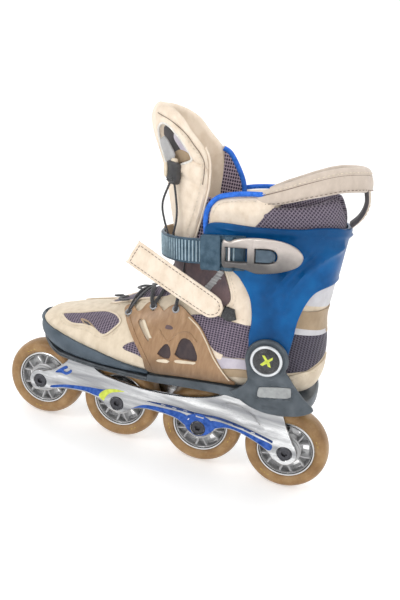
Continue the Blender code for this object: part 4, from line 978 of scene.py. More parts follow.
def build_wheel(i, x):
    """One wheel: a rounded urethane tyre, a ringed and spoked hub, and shielded bearings."""
    body = f"wheel_{i}"
    centre = (x, AXLE_Z)
    arc_side = [(HUB_R + 0.1, 9.3), (27.6, 9.9), (29, 10.9), (31.2, 11.75), (33.2, 11.7), (35, 11),
        (36.6, 9.6), (37.9, 7.2), (38.7, 4.2), (39, 1.4)]
    profile = [(r, -y) for r, y in arc_side] + [(r, y) for r, y in reversed(arc_side)]
    tyre = turned(f"tyre_{i}_moulded", profile, TYRE, centre, 112, body, 60.0)
    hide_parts(f"tyre_{i}")
    for side in (-1, 1):
        start = 70.0 + 41.0 * i
        for k, (turn, wide) in enumerate(((0, 5), (8, 3.5), (14, 4.5), (150, 4), (157, 5))):
            low, high = math.radians(start + turn), math.radians(start + turn + wide)
            edge = [(30.6, low), (32.6, low), (32.6, high), (30.6, high)]

            def put(points, h, side=side):
                return np.column_stack([x + points[:, 0] * np.cos(points[:, 1] / PRINT_R),
                    side * (11.73 + h - 0.12 * np.abs(points[:, 0] - 31.7)),
                    AXLE_Z + points[:, 0] * np.sin(points[:, 1] / PRINT_R)])

            mark = relief(f"tyre_{i}_print_{'b' if side > 0 else 'a'}{k}",
                outline([(r, a * PRINT_R) for r, a in edge], 0.8, "all"), put, PRINT_YELLOW, 0.3, 0.05,
                step=1.4, body=body)
    rim = turned(f"hub_{i}_rim", [(RIM_R - 0.2, -8.3), (RIM_R + 0.5, -9.0), (24.1, -9), (24.5, -8.4),
        (25, -8.4), (25.3, -9.3), (26.3, -9.6), (HUB_R - 0.1, -9.2), (HUB_R - 0.1, 9.2), (26.3, 9.6),
        (25.3, 9.3), (25, 8.4), (24.5, 8.4), (24.1, 9), (RIM_R + 0.5, 9.0), (RIM_R - 0.2, 8.3),
        (RIM_R - 1.2, 3.6), (RIM_R - 1.2, -3.6)], HUB_BRIGHT, centre, 96, body, 35.0)
    for word, side in (("groove", -1), ("groove_inner", 1)):
        rows = [(r, side * y) for r, y in ((24.15, 8.42), (25.25, 8.42), (25.25, 8.75), (24.15, 8.75))]
        groove = turned(f"hub_{i}_{word}", rows, SHADOW_RING, centre, 96, body, 35.0)
    core = turned(f"hub_{i}_core", [(BEARING_R + 0.1, -11.9), (12.3, -12), (13.2, -11.6), (13.4, -9.5),
        (CORE_R, -8.6), (CORE_R, 8.6), (13.4, 9.5), (13.2, 11.6), (12.3, 12), (BEARING_R + 0.1, 11.9)], HUB,
        centre, 64, body, 35.0)
    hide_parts(f"hub_{i}")
    spokes = 6
    for k in range(spokes):
        middle = 2 * math.pi * (k + 0.5) / spokes + 0.2
        for lean in (-1, 1):
            a0, a1 = middle + lean * 0.10, middle + lean * 0.24
            path = np.array([(x + r * math.cos(a), 0.0, AXLE_Z + r * math.sin(a))
                for r, a in zip(np.linspace(CORE_R - 1.0, RIM_R + 0.2, 7), np.linspace(a0, a1, 7))])
            section = [(-1, -6.6), (-0.5, -7.4), (0.5, -7.4), (1, -6.6), (1, 6.6), (0.5, 7.4), (-0.5, 7.4),
                (-1, 6.6)]
            spoke = swept(f"hub_{i}_spoke_{k}{'a' if lean < 0 else 'b'}", path, section, HUB, (0, 1, 0),
                body)
    windows = []
    for k in range(spokes):
        m = 2 * math.pi * k / spokes + 0.2
        corners = ((CORE_R + 1.6, m - 0.20), (RIM_R - 2.2, m - 0.27), (RIM_R - 2.2, m + 0.27),
            (CORE_R + 1.6, m + 0.20))
        windows.append(outline([(x + r * math.cos(a), AXLE_Z + r * math.sin(a)) for r, a in corners], 1.2))
    web = relief(f"hub_{i}_web", circle(x, AXLE_Z, RIM_R - 0.5, 60), upright_at(1.0, -1), HUB, 2.0, 0.3,
        holes=[circle(x, AXLE_Z, CORE_R - 0.5, 40)] + windows, step=1.6, body=body)
    for word, side in SIDES:
        profile = [(4.3, 5.2), (4.3, 11.9), (6.1, 12), (6.5, 11.5), (9.2, 11.5), (9.5, 12), (10.95, 11.9),
            (10.95, 5.2)]
        bearing = turned(f"bearing_{word}_{i}", [(r, side * y) for r, y in profile], STEEL, centre, 48,
            body, 35.0)
        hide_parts(f"bearing_{word}_side_{i}")


def build_bolt(i, x):
    """The wheel's screw, with a hexagon socket in its sunk head, and its end on the inner side."""
    seat = -(BOSS_OUT - 3.0)
    profile = [(0.001, seat - 0.4), (hexagon(2.5), seat - 0.4), (hexagon(2.55), seat - 2.4),
        (3.1, seat - 2.75), (5.6, seat - 2.75), (6.35, seat - 2.2), (6.4, seat - 0.35), (4.0, seat - 0.35),
        (4, 16.6), (3.1, 17.6), (hexagon(2.2), 17.7), (hexagon(2.2), 16.0), (0.001, 16)]
    bolt = turned(f"bolt_{i}", profile, BOLT, (x, AXLE_Z), 48, "chassis", 35.0, around=False)
    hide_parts(f"axle_{i}")


# ---------------------------------------------------------------- frame

def frame_edge():
    """The side plate's outline: bosses, shoulders, the arched top edge and the scalloped bottom one."""
    points = arc(WHEEL_X[0], AXLE_Z, BOSS_R, 250, 84, 9)
    points += [(-114.5, 53.5), (-106, 60), (-99.5, 67), (-95.5, 73), (-91, 76), (-83, 76.3), (-76, 74.5),
        (-70, 69.5), (-62, 65.5), (-50, 63.5), (-26, 62), (-8, 62.3), (20, 65.5), (38, 70), (52, 75.5),
        (61, 80.8), (67, 83.2), (76, 83.9), (104, 83.9), (111, 82), (117, 72.5), (122, 62.5), (128, 53.5),
        (131.5, 48.8)]
    points += arc(WHEEL_X[-1], AXLE_Z, BOSS_R, 38, -100, 8)
    points += [(115, 31.5), (107, 37), (95, 41.5), (81, 45.3), (69, 46), (60, 43.2)]
    points += [(54, 36.5), (48.5, 31.6), (41.5, 29.6), (34.5, 31.6), (29.5, 36)]
    points += [(20, 40.3), (8, 41.8), (-8, 41.5), (-20, 39.5), (-28.5, 35.5)]
    points += [(-34, 31.6), (-41.5, 29.6), (-49, 31.6), (-55, 35.2)]
    points += [(-65, 38.6), (-78, 39.8), (-98, 37), (-112, 33.2)]
    return outline(points, 1.6)


LEAF = [(58, 69.5), (66, 73.5), (76, 73.8), (88, 69.5), (98, 61), (103, 56), (94, 55.5), (82, 57.5),
    (70, 62)]


def frame_face(points, d):
    """The plate's relief: raised bosses, a rolled rib along the top and a leaf-shaped pocket."""
    h = np.zeros(len(points))
    for x in WHEEL_X:
        r = np.hypot(points[:, 0] - x, points[:, 1] - AXLE_Z)
        h += 1.7 / (1 + np.exp((r - 12.2) / 0.7)) + 1.0 * np.exp(-((r - 14.0) / 6.0) ** 2) * (r > 12)
        h -= 0.7 * np.exp(-((r - 8.6) / 0.9) ** 2)
    leaf = outline(LEAF, 1.5)
    within = inside(points, [leaf])
    deep = np.where(within, np.clip(distance(points, [leaf]) / 3.0, 0, 1), 0.0)
    h -= 1.5 * deep * deep * (3 - 2 * deep)
    h += np.where(within, 0.0, 0.5 * np.exp(-(distance(points, [leaf]) / 2.2) ** 2))
    ridge = [(-112, 50), (-95, 62), (-70, 56.5), (-40, 54.5), (0, 54), (30, 58), (50, 65)]
    h += bump_along(points, line(ridge, 3.0), 4.0, 0.55)
    low = [(-105, 44), (-70, 46), (-20, 47.5), (20, 48.5), (55, 52.5), (95, 48.5), (112, 44)]
    h -= bump_along(points, line(low, 3.0), 4.5, 0.45)
    return h


def build_frame():
    """The two side plates with their bosses, and the decks that bridge them."""
    edge = frame_edge()
    holes = [circle(x, AXLE_Z, AXLE_HOLE_R, 36) for x in WHEEL_X]
    for word, side in SIDES:
        plate = relief(f"frame_plate_{word}", edge, upright_at(PLATE_OUT, side), ALUMINIUM, 3.0, 1.5,
            frame_face, holes, 1.7, 0.3, "chassis")
        if side < 0:
            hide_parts("frame")
        for i, x in enumerate(WHEEL_X, 1):
            seat = BOSS_OUT - 3.0
            cup = turned(f"frame_boss_{word}_{i}", [(6.65, side * (BOSS_OUT - 0.6)),
                (7.1, side * (BOSS_OUT - 0.1)), (7.1, side * 13.3), (4.35, side * 13.3),
                (4.35, side * seat), (6.65, side * seat)], ALUMINIUM, (x, AXLE_Z), 48, "chassis", 35.0)
    for i, (x0, x1, top, arch) in enumerate(((-95, -71, 81, 4), (66.5, 100, 83.8, 5)), 1):
        section = outline([(-16.0, top - 10.0), (-16.0, top - 1.2), (-14.8, top), (14.8, top),
            (16.0, top - 1.2), (16.0, top - 10.0), (13.2, top - 10.0), (13.0, top - arch - 2.0),
            (10.0, top - arch), (-10.0, top - arch), (-13.0, top - arch - 2.0), (-13.2, top - 10.0)], 3.0,
            "all")
        rings = []
        for share, shrink in ((0, 0.8), (0.03, 0), (0.97, 0), (1, 0.8)):
            x = x0 + (x1 - x0) * share
            rings.append(np.column_stack([np.full(len(section), x), section[:, 0] * (1 - shrink / 40),
                section[:, 1] - shrink * 0.4]))
        bridge = loft(f"frame_deck_{i}", rings, ALUMINIUM, 35.0, "chassis")


def build_decals():
    """The printed stripes on the frame's sides: plain shapes in blue, navy and lime."""
    strips = {
        "front_stripe": (BLUE_FILM, [(-112, 37.5), (-96, 42.5), (-78, 46), (-58, 49), (-52, 51.5),
            (-55.5, 45), (-62, 40.6), (-78, 41.6), (-98, 39), (-110, 35.6)]),
        "front_wave": (LIME_FILM, [(-61, 41.5), (-58, 47), (-52, 51.5), (-44, 54), (-35, 54), (-41.5, 51.8),
            (-49, 48.2), (-53.5, 42.5), (-55, 38.2)]),
        "low_stripe": (BLUE_FILM, [(-26, 38.2), (-14, 45.5), (4, 48), (29, 48.2), (30.5, 38.6), (20, 42),
            (8, 43.4), (-10, 43), (-21, 40.5)]),
        "rear_stripe": (BLUE_FILM, [(53, 50.3), (80, 49.5), (100, 46), (112, 44), (110, 38), (95, 43),
            (81, 46.8), (69, 47.6), (57.5, 43.5), (53.5, 40.5)]),
        "top_stripe": (NAVY_FILM, [(-12, 50.5), (10, 53.4), (35, 53.8), (58, 55.5), (80, 53.6), (104, 49.6),
            (112, 48.2), (112, 46), (100, 48.2), (80, 51.2), (55, 53.2), (30, 51.2), (8, 50.6)]),
        "boss_shield": (BLUE_FILM, [(27, 45), (33, 51), (41.5, 53.8), (50, 51), (58, 46), (52, 36),
            (41.5, 31.2), (31, 36)]),
        "front_mark": (BLUE_FILM, [(-109, 53), (-104, 58.6), (-98.5, 62.8), (-96.5, 60.8), (-101, 57.2),
            (-97.5, 56), (-93, 60), (-92, 57.8), (-97, 53.2), (-103, 53.8)]),
    }
    for word, side in SIDES:
        for k, (name, (film, points)) in enumerate(strips.items()):
            holes = [circle(WHEEL_X[2], AXLE_Z, 7.6, 30)] if name == "boss_shield" else []

            def face(flat, d, lift=0.10 + 0.05 * k):
                return frame_face(flat, d) + lift

            def put(flat, h, side=side):
                return np.column_stack([flat[:, 0], side * (PLATE_OUT + h), flat[:, 1]])

            film_piece = relief(f"frame_{name}_{word}", outline(points, 1.6), put, film, 0.5, 0.05, face,
                holes, 1.7, body="chassis")
        for k in range(9):
            x = 2.0 + 11.0 * k
            z = 51.9 + (0.6 if 2 <= k <= 6 else -0.2) - 0.35 * max(0, k - 5) ** 1.3
            dot = relief(f"frame_dash_{word}_{k}", outline([(x, z - 0.55), (x + 5.5, z - 0.4),
                (x + 5.5, z + 0.7), (x, z + 0.55)], 1.2, "all"), upright_at(PLATE_OUT + 0.32, side),
                ALUMINIUM, 0.5, 0.05, frame_face, step=1.6, body="chassis")


# ---------------------------------------------------------------- sole, chassis and rand

def sole_z(x):
    """The height of the underside of the sole."""
    xs, zs = zip((-140, 101), (-133, 96), (-120, 88.5), (-105, 83.5), (-96, 81.5), (-50, 81.5), (0, 83),
        (32, 86), (66, 89))
    return float(np.interp(x, xs, zs))


def build_chassis():
    """The stiff sole, the heel bowl and the ears that carry the cuff."""
    levels = np.array([(75.5, 94, 121, 20, 2.6), (79.5, 84, 127.5, 26.5, 2.7), (84, 74, 133, 33, 2.8),
        (92, 66, 138, 43, 3), (98, 68, 140, 46.2, 3), (103, 74, 139, 46.4, 3)])
    rings = []
    angles = spin(96)
    for row in line(levels, 1.6):
        z, x0, x1, half, square = row
        rings.append(np.column_stack([0.5 * (x0 + x1) + 0.5 * (x1 - x0) * power(np.cos(angles), square),
            half * power(np.sin(angles), square), np.full(96, z)]))
    bowl = rings + [np.column_stack([(r[:, 0] - 104.0) * 0.955 + 104.0, r[:, 1] * 0.955, r[:, 2]])
        for r in (rings[-1], rings[-2], rings[-3])]
    bowl[len(rings)][:, 2] += 0.6
    obj = loft("heel_bowl", bowl, CHARCOAL, 50.0, "chassis")
    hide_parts("chassis")
    stations = [(-7.9, 42), (5, 40.6), (20, 39.4), (35, 38.6), (50, 38.2), (65, 38.4), (80, 39.5)]
    rings = []
    for x, half, *_ in line(stations, 4.0):
        low, high = sole_z(x), sole_z(x) + 7.6 + 0.03 * (x + 8)
        side = [(half, high), (half, low + 3.0), (half - 1.0, low + 1.0), (half - 3.0, low)]
        ring = [(x, -y, z) for y, z in side] + [(x, y, z) for y, z in reversed(side)]
        rings.append(np.array(ring))
    plate = loft("arch_plate", rings, CHARCOAL, 35.0, "chassis")
    px, pz = PIVOT
    ear = arc(px, pz, 18.3, 206, -18, 16) + [(115, 124.5), (121, 118), (130, 110), (138.5, 104),
        (139, 100.5), (131, 94.5), (120, 90.5), (103, 87.5), (88, 89.5), (76, 94.5), (67.5, 98.6),
        (71, 101.2), (77, 106.5), (80.5, 113), (78.5, 121)]
    ear = outline(ear, 1.6)
    panel = outline([(91, 101.5), (94, 100.2), (117, 106), (120, 108.6), (119, 115), (116, 117.2),
        (94, 111.6), (90.6, 108.8)], 1.2)
    slot = outline([(97, 94.3), (108, 96.3), (108.4, 93.8), (98, 92)], 1.0)

    def ear_face(points, d):
        r = np.hypot(points[:, 0] - px, points[:, 1] - pz)
        h = 0.9 * np.exp(-((r - 16.6) / 1.3) ** 2) - 0.6 * np.exp(-((r - 14.4) / 0.9) ** 2)
        within = inside(points, [panel])
        gap = distance(points, [panel])
        h += np.where(within, -0.9, 0.5 * np.exp(-(gap / 1.4) ** 2))
        h += bump_along(points, line([(77, 115), (92, 115), (106, 118.5), (121, 116.5)], 2.0), 1.3, -0.7)
        h += np.where(inside(points, [slot]), -1.4, 0.0)
        h -= 1.1 * np.clip((97.0 - points[:, 1]) / 10.0, 0, 1) ** 2
        return h

    for word, side in SIDES:
        piece = relief(f"chassis_ear_{word}", ear, upright_at(EAR_OUT - 0.5, side), CHARCOAL, 2.4, 1.2,
            ear_face, [circle(px, pz, 5.0, 24)], 1.5, 0.3, "chassis")
        inlay = relief(f"ear_panel_{word}", inset(panel, 0.9), upright_at(EAR_OUT - 0.75, side), PANEL_GREY,
            1.0, 0.4, step=1.8, body="chassis")
        ring = turned(f"pivot_ring_{word}", [(10.9, side * (EAR_OUT + 0.4)), (11.4, side * (EAR_OUT + 1.7)),
            (12.6, side * (EAR_OUT + 1.9)), (13.4, side * (EAR_OUT + 1.3)), (13.5, side * (EAR_OUT + 0.4))],
            RING_SILVER, PIVOT, 72, "chassis", 50.0)
        cap = turned(f"pivot_cap_{word}", [(0.001, side * (EAR_OUT + 1.0)), (9.5, side * (EAR_OUT + 1.0)),
            (10.8, side * (EAR_OUT + 1.3)), (10.8, side * (EAR_OUT - 0.2)), (4.4, side * (EAR_OUT - 0.2)),
            (4.4, side * 39.8), (6.4, side * 39.6), (6.4, side * 38.9), (0.001, side * 38.9)], GLOSS_BLACK,
            PIVOT, 64, "chassis", 35.0, around=False)
        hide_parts(f"pivot_rivet_{word}")
        mark = [(-4.5, -4), (-1, 0.5), (-4.5, 4.5), (-2.2, 4.8), (1, 1.5), (4.6, 5), (4.9, 2.8), (2.6, 0.3),
            (4.9, -4.2), (2.4, -4), (0.8, -1.8), (-2.2, -4.6)]
        sign = relief(f"pivot_mark_{word}", outline([(px + a, pz + b) for a, b in mark], 1.0, "all"),
            upright_at(EAR_OUT + 1.15, side), LIME_FILM, 0.5, 0.08, step=1.2, body="chassis")


def clip(verts, faces, keep):
    """The part of a mesh where keep is above zero, cut cleanly along the line where it is zero."""
    verts = [np.array(v) for v in verts]
    cut = {}
    out = []

    def crossing(a, b):
        key = (min(a, b), max(a, b))
        if key not in cut:
            t = keep[a] / (keep[a] - keep[b])
            cut[key] = len(verts)
            verts.append(verts[a] + (verts[b] - verts[a]) * t)
        return cut[key]

    for face in faces:
        piece = []
        for a, b in zip(face, tuple(face[1:]) + (face[0],)):
            if keep[a] > 0:
                piece.append(a)
            if (keep[a] > 0) != (keep[b] > 0):
                piece.append(crossing(a, b))
        if len(piece) > 2:
            out.append(tuple(piece))
    used = sorted({i for f in out for i in f})
    index = {old: new for new, old in enumerate(used)}
    return [verts[i] for i in used], [tuple(index[i] for i in f) for f in out]


def thicken(obj, thickness, bevel=0.0):
    """Gives a skin its thickness, inwards, and rounds its edges."""
    mod = obj.modifiers.new("thickness", "SOLIDIFY")
    mod.thickness = thickness * MM
    mod.offset = -1.0
    mod.use_even_offset = True
    mod.use_quality_normals = True
    if bevel:
        edge = obj.modifiers.new("edges", "BEVEL")
        edge.width = bevel * MM
        edge.segments = 2
        edge.limit_method = "ANGLE"
        edge.angle_limit = math.radians(50.0)


def build_rand():
    """The rubber toe rand, moulded round the foot, and the sole under it."""
    top_edge = np.array([(-140, 110.5), (-118, 107.6), (-100, 106), (-74, 102.6), (-52, 99.6), (-32, 96),
        (-8, 92), (0, 90.5)])
    rings = foot_rings(3.0, 0.0, 7.0, 90)
    verts, faces = ring_faces(rings)
    faces.append(tuple(range(len(rings[0]))))
    keep = np.interp(verts[:, 0], top_edge[:, 0], top_edge[:, 1]) - verts[:, 2]
    verts, faces = clip(verts, faces, keep)
    keep = -8.5 - np.array(verts)[:, 0]
    verts, faces = clip(verts, faces, keep)
    verts = np.array(verts)
    groove = np.exp(-((np.interp(verts[:, 0], top_edge[:, 0], top_edge[:, 1]) - 3.4 - verts[:, 2])
        / 0.8) ** 2)
    verts[:, 1] -= np.sign(verts[:, 1]) * 0.5 * groove * np.clip(np.abs(verts[:, 1]) / 20.0, 0, 1)
    rand = make_mesh("toe_rand_moulded", verts, faces, RAND, 50.0, "chassis")
    thicken(rand, 2.5, 0.5)
    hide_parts("toe_rand")
    stations = [(-127, 12, 14), (-124, 18, 20.5), (-118, 25.5, 28.5), (-105, 35.5, 39.5), (-88, 40.6, 46.1),
        (-63, 43.1, 48.6), (-40, 43.1, 47.1), (-20, 42.5, 44.8), (-8.2, 42, 43)]
    rings = []
    for x, outer, inner in line(stations, 4.0):
        low = sole_z(x)
        high = low + 5.2
        right = [(high, 0.0), (low + 3.6, 0.0), (low + 3.1, -0.7), (low + 2.4, 0.0), (low + 1.2, -0.3),
            (low, -2.6)]
        ring = [(x, -outer - out, z) for z, out in right] + [(x, inner + out, z)
            for z, out in reversed(right)]
        rings.append(np.array(ring))
    sole = loft("toe_sole", rings, SOLE, 30.0, "chassis")


# ---------------------------------------------------------------- boot upper

def signed(points, loops):
    """Distance from an outline with holes, above zero inside it."""
    gap = distance(points, loops)
    return np.where(inside(points, loops), gap, -gap)


def upper_blend(obj):
    """Bakes a piece of the upper's placement into its mesh; the piece rides on no body."""
    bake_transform(obj)


def skin_patch(name, inside_of, grow, mat, thick=1.0, slot="suede", bevel=0.3, fold=True):
    """A panel of the upper: the foot's skin, grown by a margin, where inside_of(points) is above zero."""
    verts, faces = ring_faces([foot_ring(t, grow, 120) for t in np.linspace(0.35, len(FOOT) - 1.0, 190)])
    keep = inside_of(verts)
    near = keep > -6.0
    faces = [f for f in faces if near[f[0]] and near[f[2]]]
    verts, faces = clip(verts, faces, keep)
    obj = make_mesh(name, verts, faces, mat, 60.0)
    normals_out(obj)
    thicken(obj, thick, bevel)
    if fold:
        upper_blend(obj)
    else:
        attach(obj, "chassis")
    return obj


def normals_out(obj):
    """Turns an open skin's faces away from the middle of the boot."""
    mesh = obj.data
    total = 0.0
    for face in mesh.polygons:
        middle = Vector((min(max(face.center.x, -0.1), 0.1), 0.0, 0.125))
        total += face.normal.dot(face.center - middle)
    if total < 0:
        mesh.flip_normals()


def side_panel(name, points, grow, mat, thick=1.0, sharp=(), holes=(), clear_of_top=0.0, **more):
    """A panel on both sides of the foot with one outline in (x, z)."""
    loops = [outline(points, 1.2, sharp)] + [outline(h, 1.0) for h in holes]

    def within(verts):
        f = signed(verts[:, [0, 2]], loops)
        if clear_of_top:
            f = np.minimum(f, np.abs(verts[:, 1]) - clear_of_top)
        return f

    return skin_patch(name, within, grow, mat, thick, **more)


def side_stitches(name, points, base=1.2, body=None, **more):
    """Stitches along an (x, z) line on the buckle side and again on the inner side."""
    for word, side in SIDES:
        flat = line(points, 1.4)
        path = on_foot(side, base)(flat, np.zeros(len(flat)))
        row = stitches(f"{name}_{word}", path, THREAD, **more)
        if body:
            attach(row, body)
        else:
            upper_blend(row)


def build_upper():
    """The boot's skin in one piece from the toe to under the cuff, open at the top and hollow."""
    last = len(FOOT) - 1.0
    outer = foot_rings(0.0, 0.0, last, 130)
    inner = [foot_ring(t, -5.0) for t in np.linspace(1.6, last, 60)]
    top = outer[-1]
    middle = top.mean(axis=0)
    lip = [top + np.array([0, 0, 1.2]), middle + (top - middle) * 0.96 + np.array([0, 0, 1.8])]
    skin = loft("upper_skin", outer + lip + inner[::-1], SUEDE, 60.0)
    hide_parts("boot_upper")
    upper_blend(skin)


TOE_MESH = [(-104, 117.5), (-96, 121), (-84, 124.5), (-70, 129), (-58, 132.5), (-48, 133.5), (-42, 130.5),
    (-45, 125), (-51.5, 117.5), (-57, 116), (-66, 118.5), (-76, 118), (-90, 115.5)]
ANKLE_PANEL = [(39, 208), (46, 195), (51, 185), (53, 177), (50.5, 170.5), (45, 166), (51, 160.5),
    (60, 158.5), (76, 160), (84, 175), (78, 195), (66, 210)]
FLAP_EDGE = [(-14, 166), (2, 169), (22, 169.5), (36, 167), (45, 167.5), (51, 173), (51.5, 179), (48, 188),
    (42, 199), (37, 212), (-20, 214), (-22, 190)]
QUARTER_MESH = [(18, 151), (31, 156.5), (45, 159), (60, 157.5), (78, 159), (88, 150), (86, 132),
    (74, 128.5), (57, 125.5), (47, 127), (38, 134), (28, 144)]


def build_panels():
    """The panels sewn over the upper, with their seams and stitches."""
    side_panel("toe_mesh_panel", TOE_MESH, 0.55, MESH_SIDE, 0.9, slot="mesh_fabric", fold=False)
    rim = outline(TOE_MESH, 1.4)
    for word, side in SIDES:
        path = on_foot(side, 0.7)(rim, np.zeros(len(rim)))
        edge = swept(f"toe_mesh_edge_{word}", path, round_section(1.1, 0.65, 8), SUEDE, (0, -side, 1),
            "chassis", closed=True)
    side_stitches("toe_mesh_stitch", [(-108, 116), (-98, 112.8), (-84, 113.5), (-72, 115), (-60, 113),
        (-52.5, 113.2), (-46, 119), (-40.5, 126.5)], 0.35, body="chassis")
    slit = [(-83, 121.6), (-75, 122.4), (-66, 120.4), (-63.5, 118.8), (-70, 118.9), (-78, 119.8)]
    side_panel("toe_slit_lip", slit, 1.1, TAN_SUEDE, 0.6, slot="suede", fold=False)
    side_panel("toe_slit", [(-80, 121), (-74, 121.5), (-67, 119.9), (-70, 119.6), (-77, 120.3)], 1.35,
        LINING, 0.5, slot="suede", fold=False, bevel=0.1)
    side_panel("vamp_mesh_panel", [(-34, 110), (-25, 118), (-12, 117), (-8, 104), (-20, 107)], 0.5,
        MESH_SIDE, 0.9, slot="mesh_fabric", fold=False)
    side_panel("quarter_mesh_panel", QUARTER_MESH, 0.5, MESH_SIDE, 0.9, slot="mesh_fabric")
    side_panel("quarter_rib", [(33, 143), (40, 134.5), (49, 127.8), (58, 126.6), (56, 122), (47, 123),
        (37, 131), (30.5, 139.5)], 1.2, SUEDE_PALE, 1.0)
    side_panel("lilac_strip", [(44, 122.6), (56, 124.8), (74, 127.4), (84, 129.5), (84, 121), (70, 118),
        (54, 114), (46, 114)], 1.0, LILAC, 1.2)
    side_panel("tan_strip", [(50, 111.4), (62, 115), (82, 118.8), (84, 112.5), (70, 109.4), (54, 106.5)],
        0.8, TAN_SUEDE, 1.0)
    side_panel("instep_flap", FLAP_EDGE, 0.9, FLAP, 1.2)
    rib = [(38.5, 199.5), (43.5, 199), (30.5, 174.5), (24.5, 175)]
    side_panel("flap_rib_band", rib, 1.5, CLIP_GREY, 0.8, sharp="all")
    for k in range(9):
        share = (k + 0.5) / 9
        ax, az = 39.0 + (25.2 - 39.0) * share, 199.2 + (175.2 - 199.2) * share
        side_panel(f"flap_rib_{k}", [(ax - 1.4, az + 1.0), (ax + 6.4, az + 0.4), (ax + 6.0, az - 0.9),
            (ax - 1.8, az - 0.3)], 2.1, HUB, 0.7, sharp="all", bevel=0.2)
    side_panel("ankle_panel", ANKLE_PANEL, 1.5, SUEDE_PALE, 1.4)
    side_stitches("ankle_stitch", [(43.5, 205), (49.5, 194.5), (54.5, 185), (56.5, 176.5), (54, 169),
        (51.5, 165.5)], 1.65)
    side_stitches("ankle_stitch_low", [(53, 164), (60, 162), (74, 163.5)], 1.65)
    piping = line([(42, 203.5), (48, 192.5), (52.5, 182), (53.4, 175.5), (50.5, 169.8), (46, 166.4)], 1.4)
    for word, side in SIDES:
        path = on_foot(side, 1.3)(piping, np.zeros(len(piping)))
        edge = swept(f"ankle_edge_{word}", path, round_section(1.0, points=8), SUEDE_PALE, (0, -side, 1))
        upper_blend(edge)


def build_heel():
    """The heel: trims, a mesh window and the sewn counter, all wrapping round the back."""
    side_panel("heel_trim_top", [(96, 205), (110, 187), (120, 184), (150, 186), (150, 212), (96, 212)], 0.6,
        WHITE_TRIM, 1.0)
    side_panel("heel_band", [(96, 187), (108, 180), (122, 179.5), (150, 184), (150, 165), (120, 164),
        (98, 168)], 1.3, TAN_SUEDE, 1.3)
    side_panel("heel_trim_low", [(96, 171), (108, 168.5), (150, 168), (150, 160.5), (118, 159), (96, 161)],
        0.8, WHITE_TRIM, 0.9)
    side_panel("heel_mesh", [(92, 162), (118, 161.5), (133, 162), (138, 150), (137, 139), (130, 130.5),
        (122, 126), (100, 126)], 0.6, MESH_HEEL, 0.9, slot="mesh_fabric")
    side_panel("heel_rail", [(133.5, 164), (152, 164), (152, 126), (139.5, 128), (139, 140), (138, 152)],
        1.1, TAN_SUEDE, 1.1)
    side_panel("heel_counter", [(112, 118), (120, 124), (129, 127.5), (137, 134), (142, 140.5), (152, 143),
        (152, 98), (112, 98)], 1.6, SUEDE, 1.5, fold=False)
    side_stitches("counter_stitch", [(115, 117.5), (121, 121.5), (129, 124.6), (135.5, 129.5)], 1.75,
        body="chassis")


def build_throat():
    """The mesh under the laces, and its bound edges."""
    def within(verts):
        x = verts[:, 0]
        wide = np.interp(x, [-68, -60, -40, -15, 6], [-4, 9, 16, 20, 21])
        high = verts[:, 2] - np.interp(x, [-70, -30, 0], [118, 138, 150])
        return np.minimum(np.minimum(wide - np.abs(verts[:, 1]), high), -2.0 - x)

    patch = skin_patch("throat_mesh", within, 0.45, MESH_SIDE, 0.8, "mesh_fabric", fold=False)
    for word, side in SIDES:
        edge = line([(-64.0, side * 1.0), (-60.0, side * 9.5), (-40.0, side * 16.5), (-22.0, side * 19.6),
            (-12.0, side * 20.6)], 1.6)
        path = on_instep(0.7)(edge, np.zeros(len(edge)))
        rim = swept(f"throat_edge_{word}", path, round_section(1.5, 0.9, 8), SUEDE_PALE, (0, 0, 1),
            "chassis")
        row = line([(-66.0, side * 3.5), (-61.5, side * 12.5), (-41.0, side * 20.0), (-25.0, side * 23.0)],
            1.6)
        thread = stitches(f"throat_stitch_{word}", on_instep(0.3)(row, np.zeros(len(row))), THREAD,
            "chassis")


CAGE = [(-43, 142), (-38, 136), (-31, 128), (-22, 117), (-14, 106), (-6, 93.5), (23, 96), (54, 99),
    (70, 101), (62, 108), (50.5, 121.5), (41, 134.5), (31.5, 145.5), (20, 153), (9, 158), (1, 156),
    (-5, 149.5), (-13.5, 153.5), (-22, 151.5), (-27.5, 143.5), (-36, 146)]
CAGE_WINDOWS = [[(-1.5, 110.5), (4, 110.8), (10.5, 111.6), (10, 118), (8, 123), (4.6, 124.4), (1.2, 120),
    (-1.2, 114.5)], [(14.5, 113.5), (24, 114.4), (34.5, 115.8), (32, 124), (27, 131), (21.5, 133.6),
    (16.6, 131), (14.6, 122)], [(-25, 136.4), (-22, 138.8), (-17, 133), (-10.6, 124.6), (-12.4, 122.8),
    (-18.5, 129)]]
EYELETS = [(-36.5, 138.5), (-15.5, 149), (6, 153)]


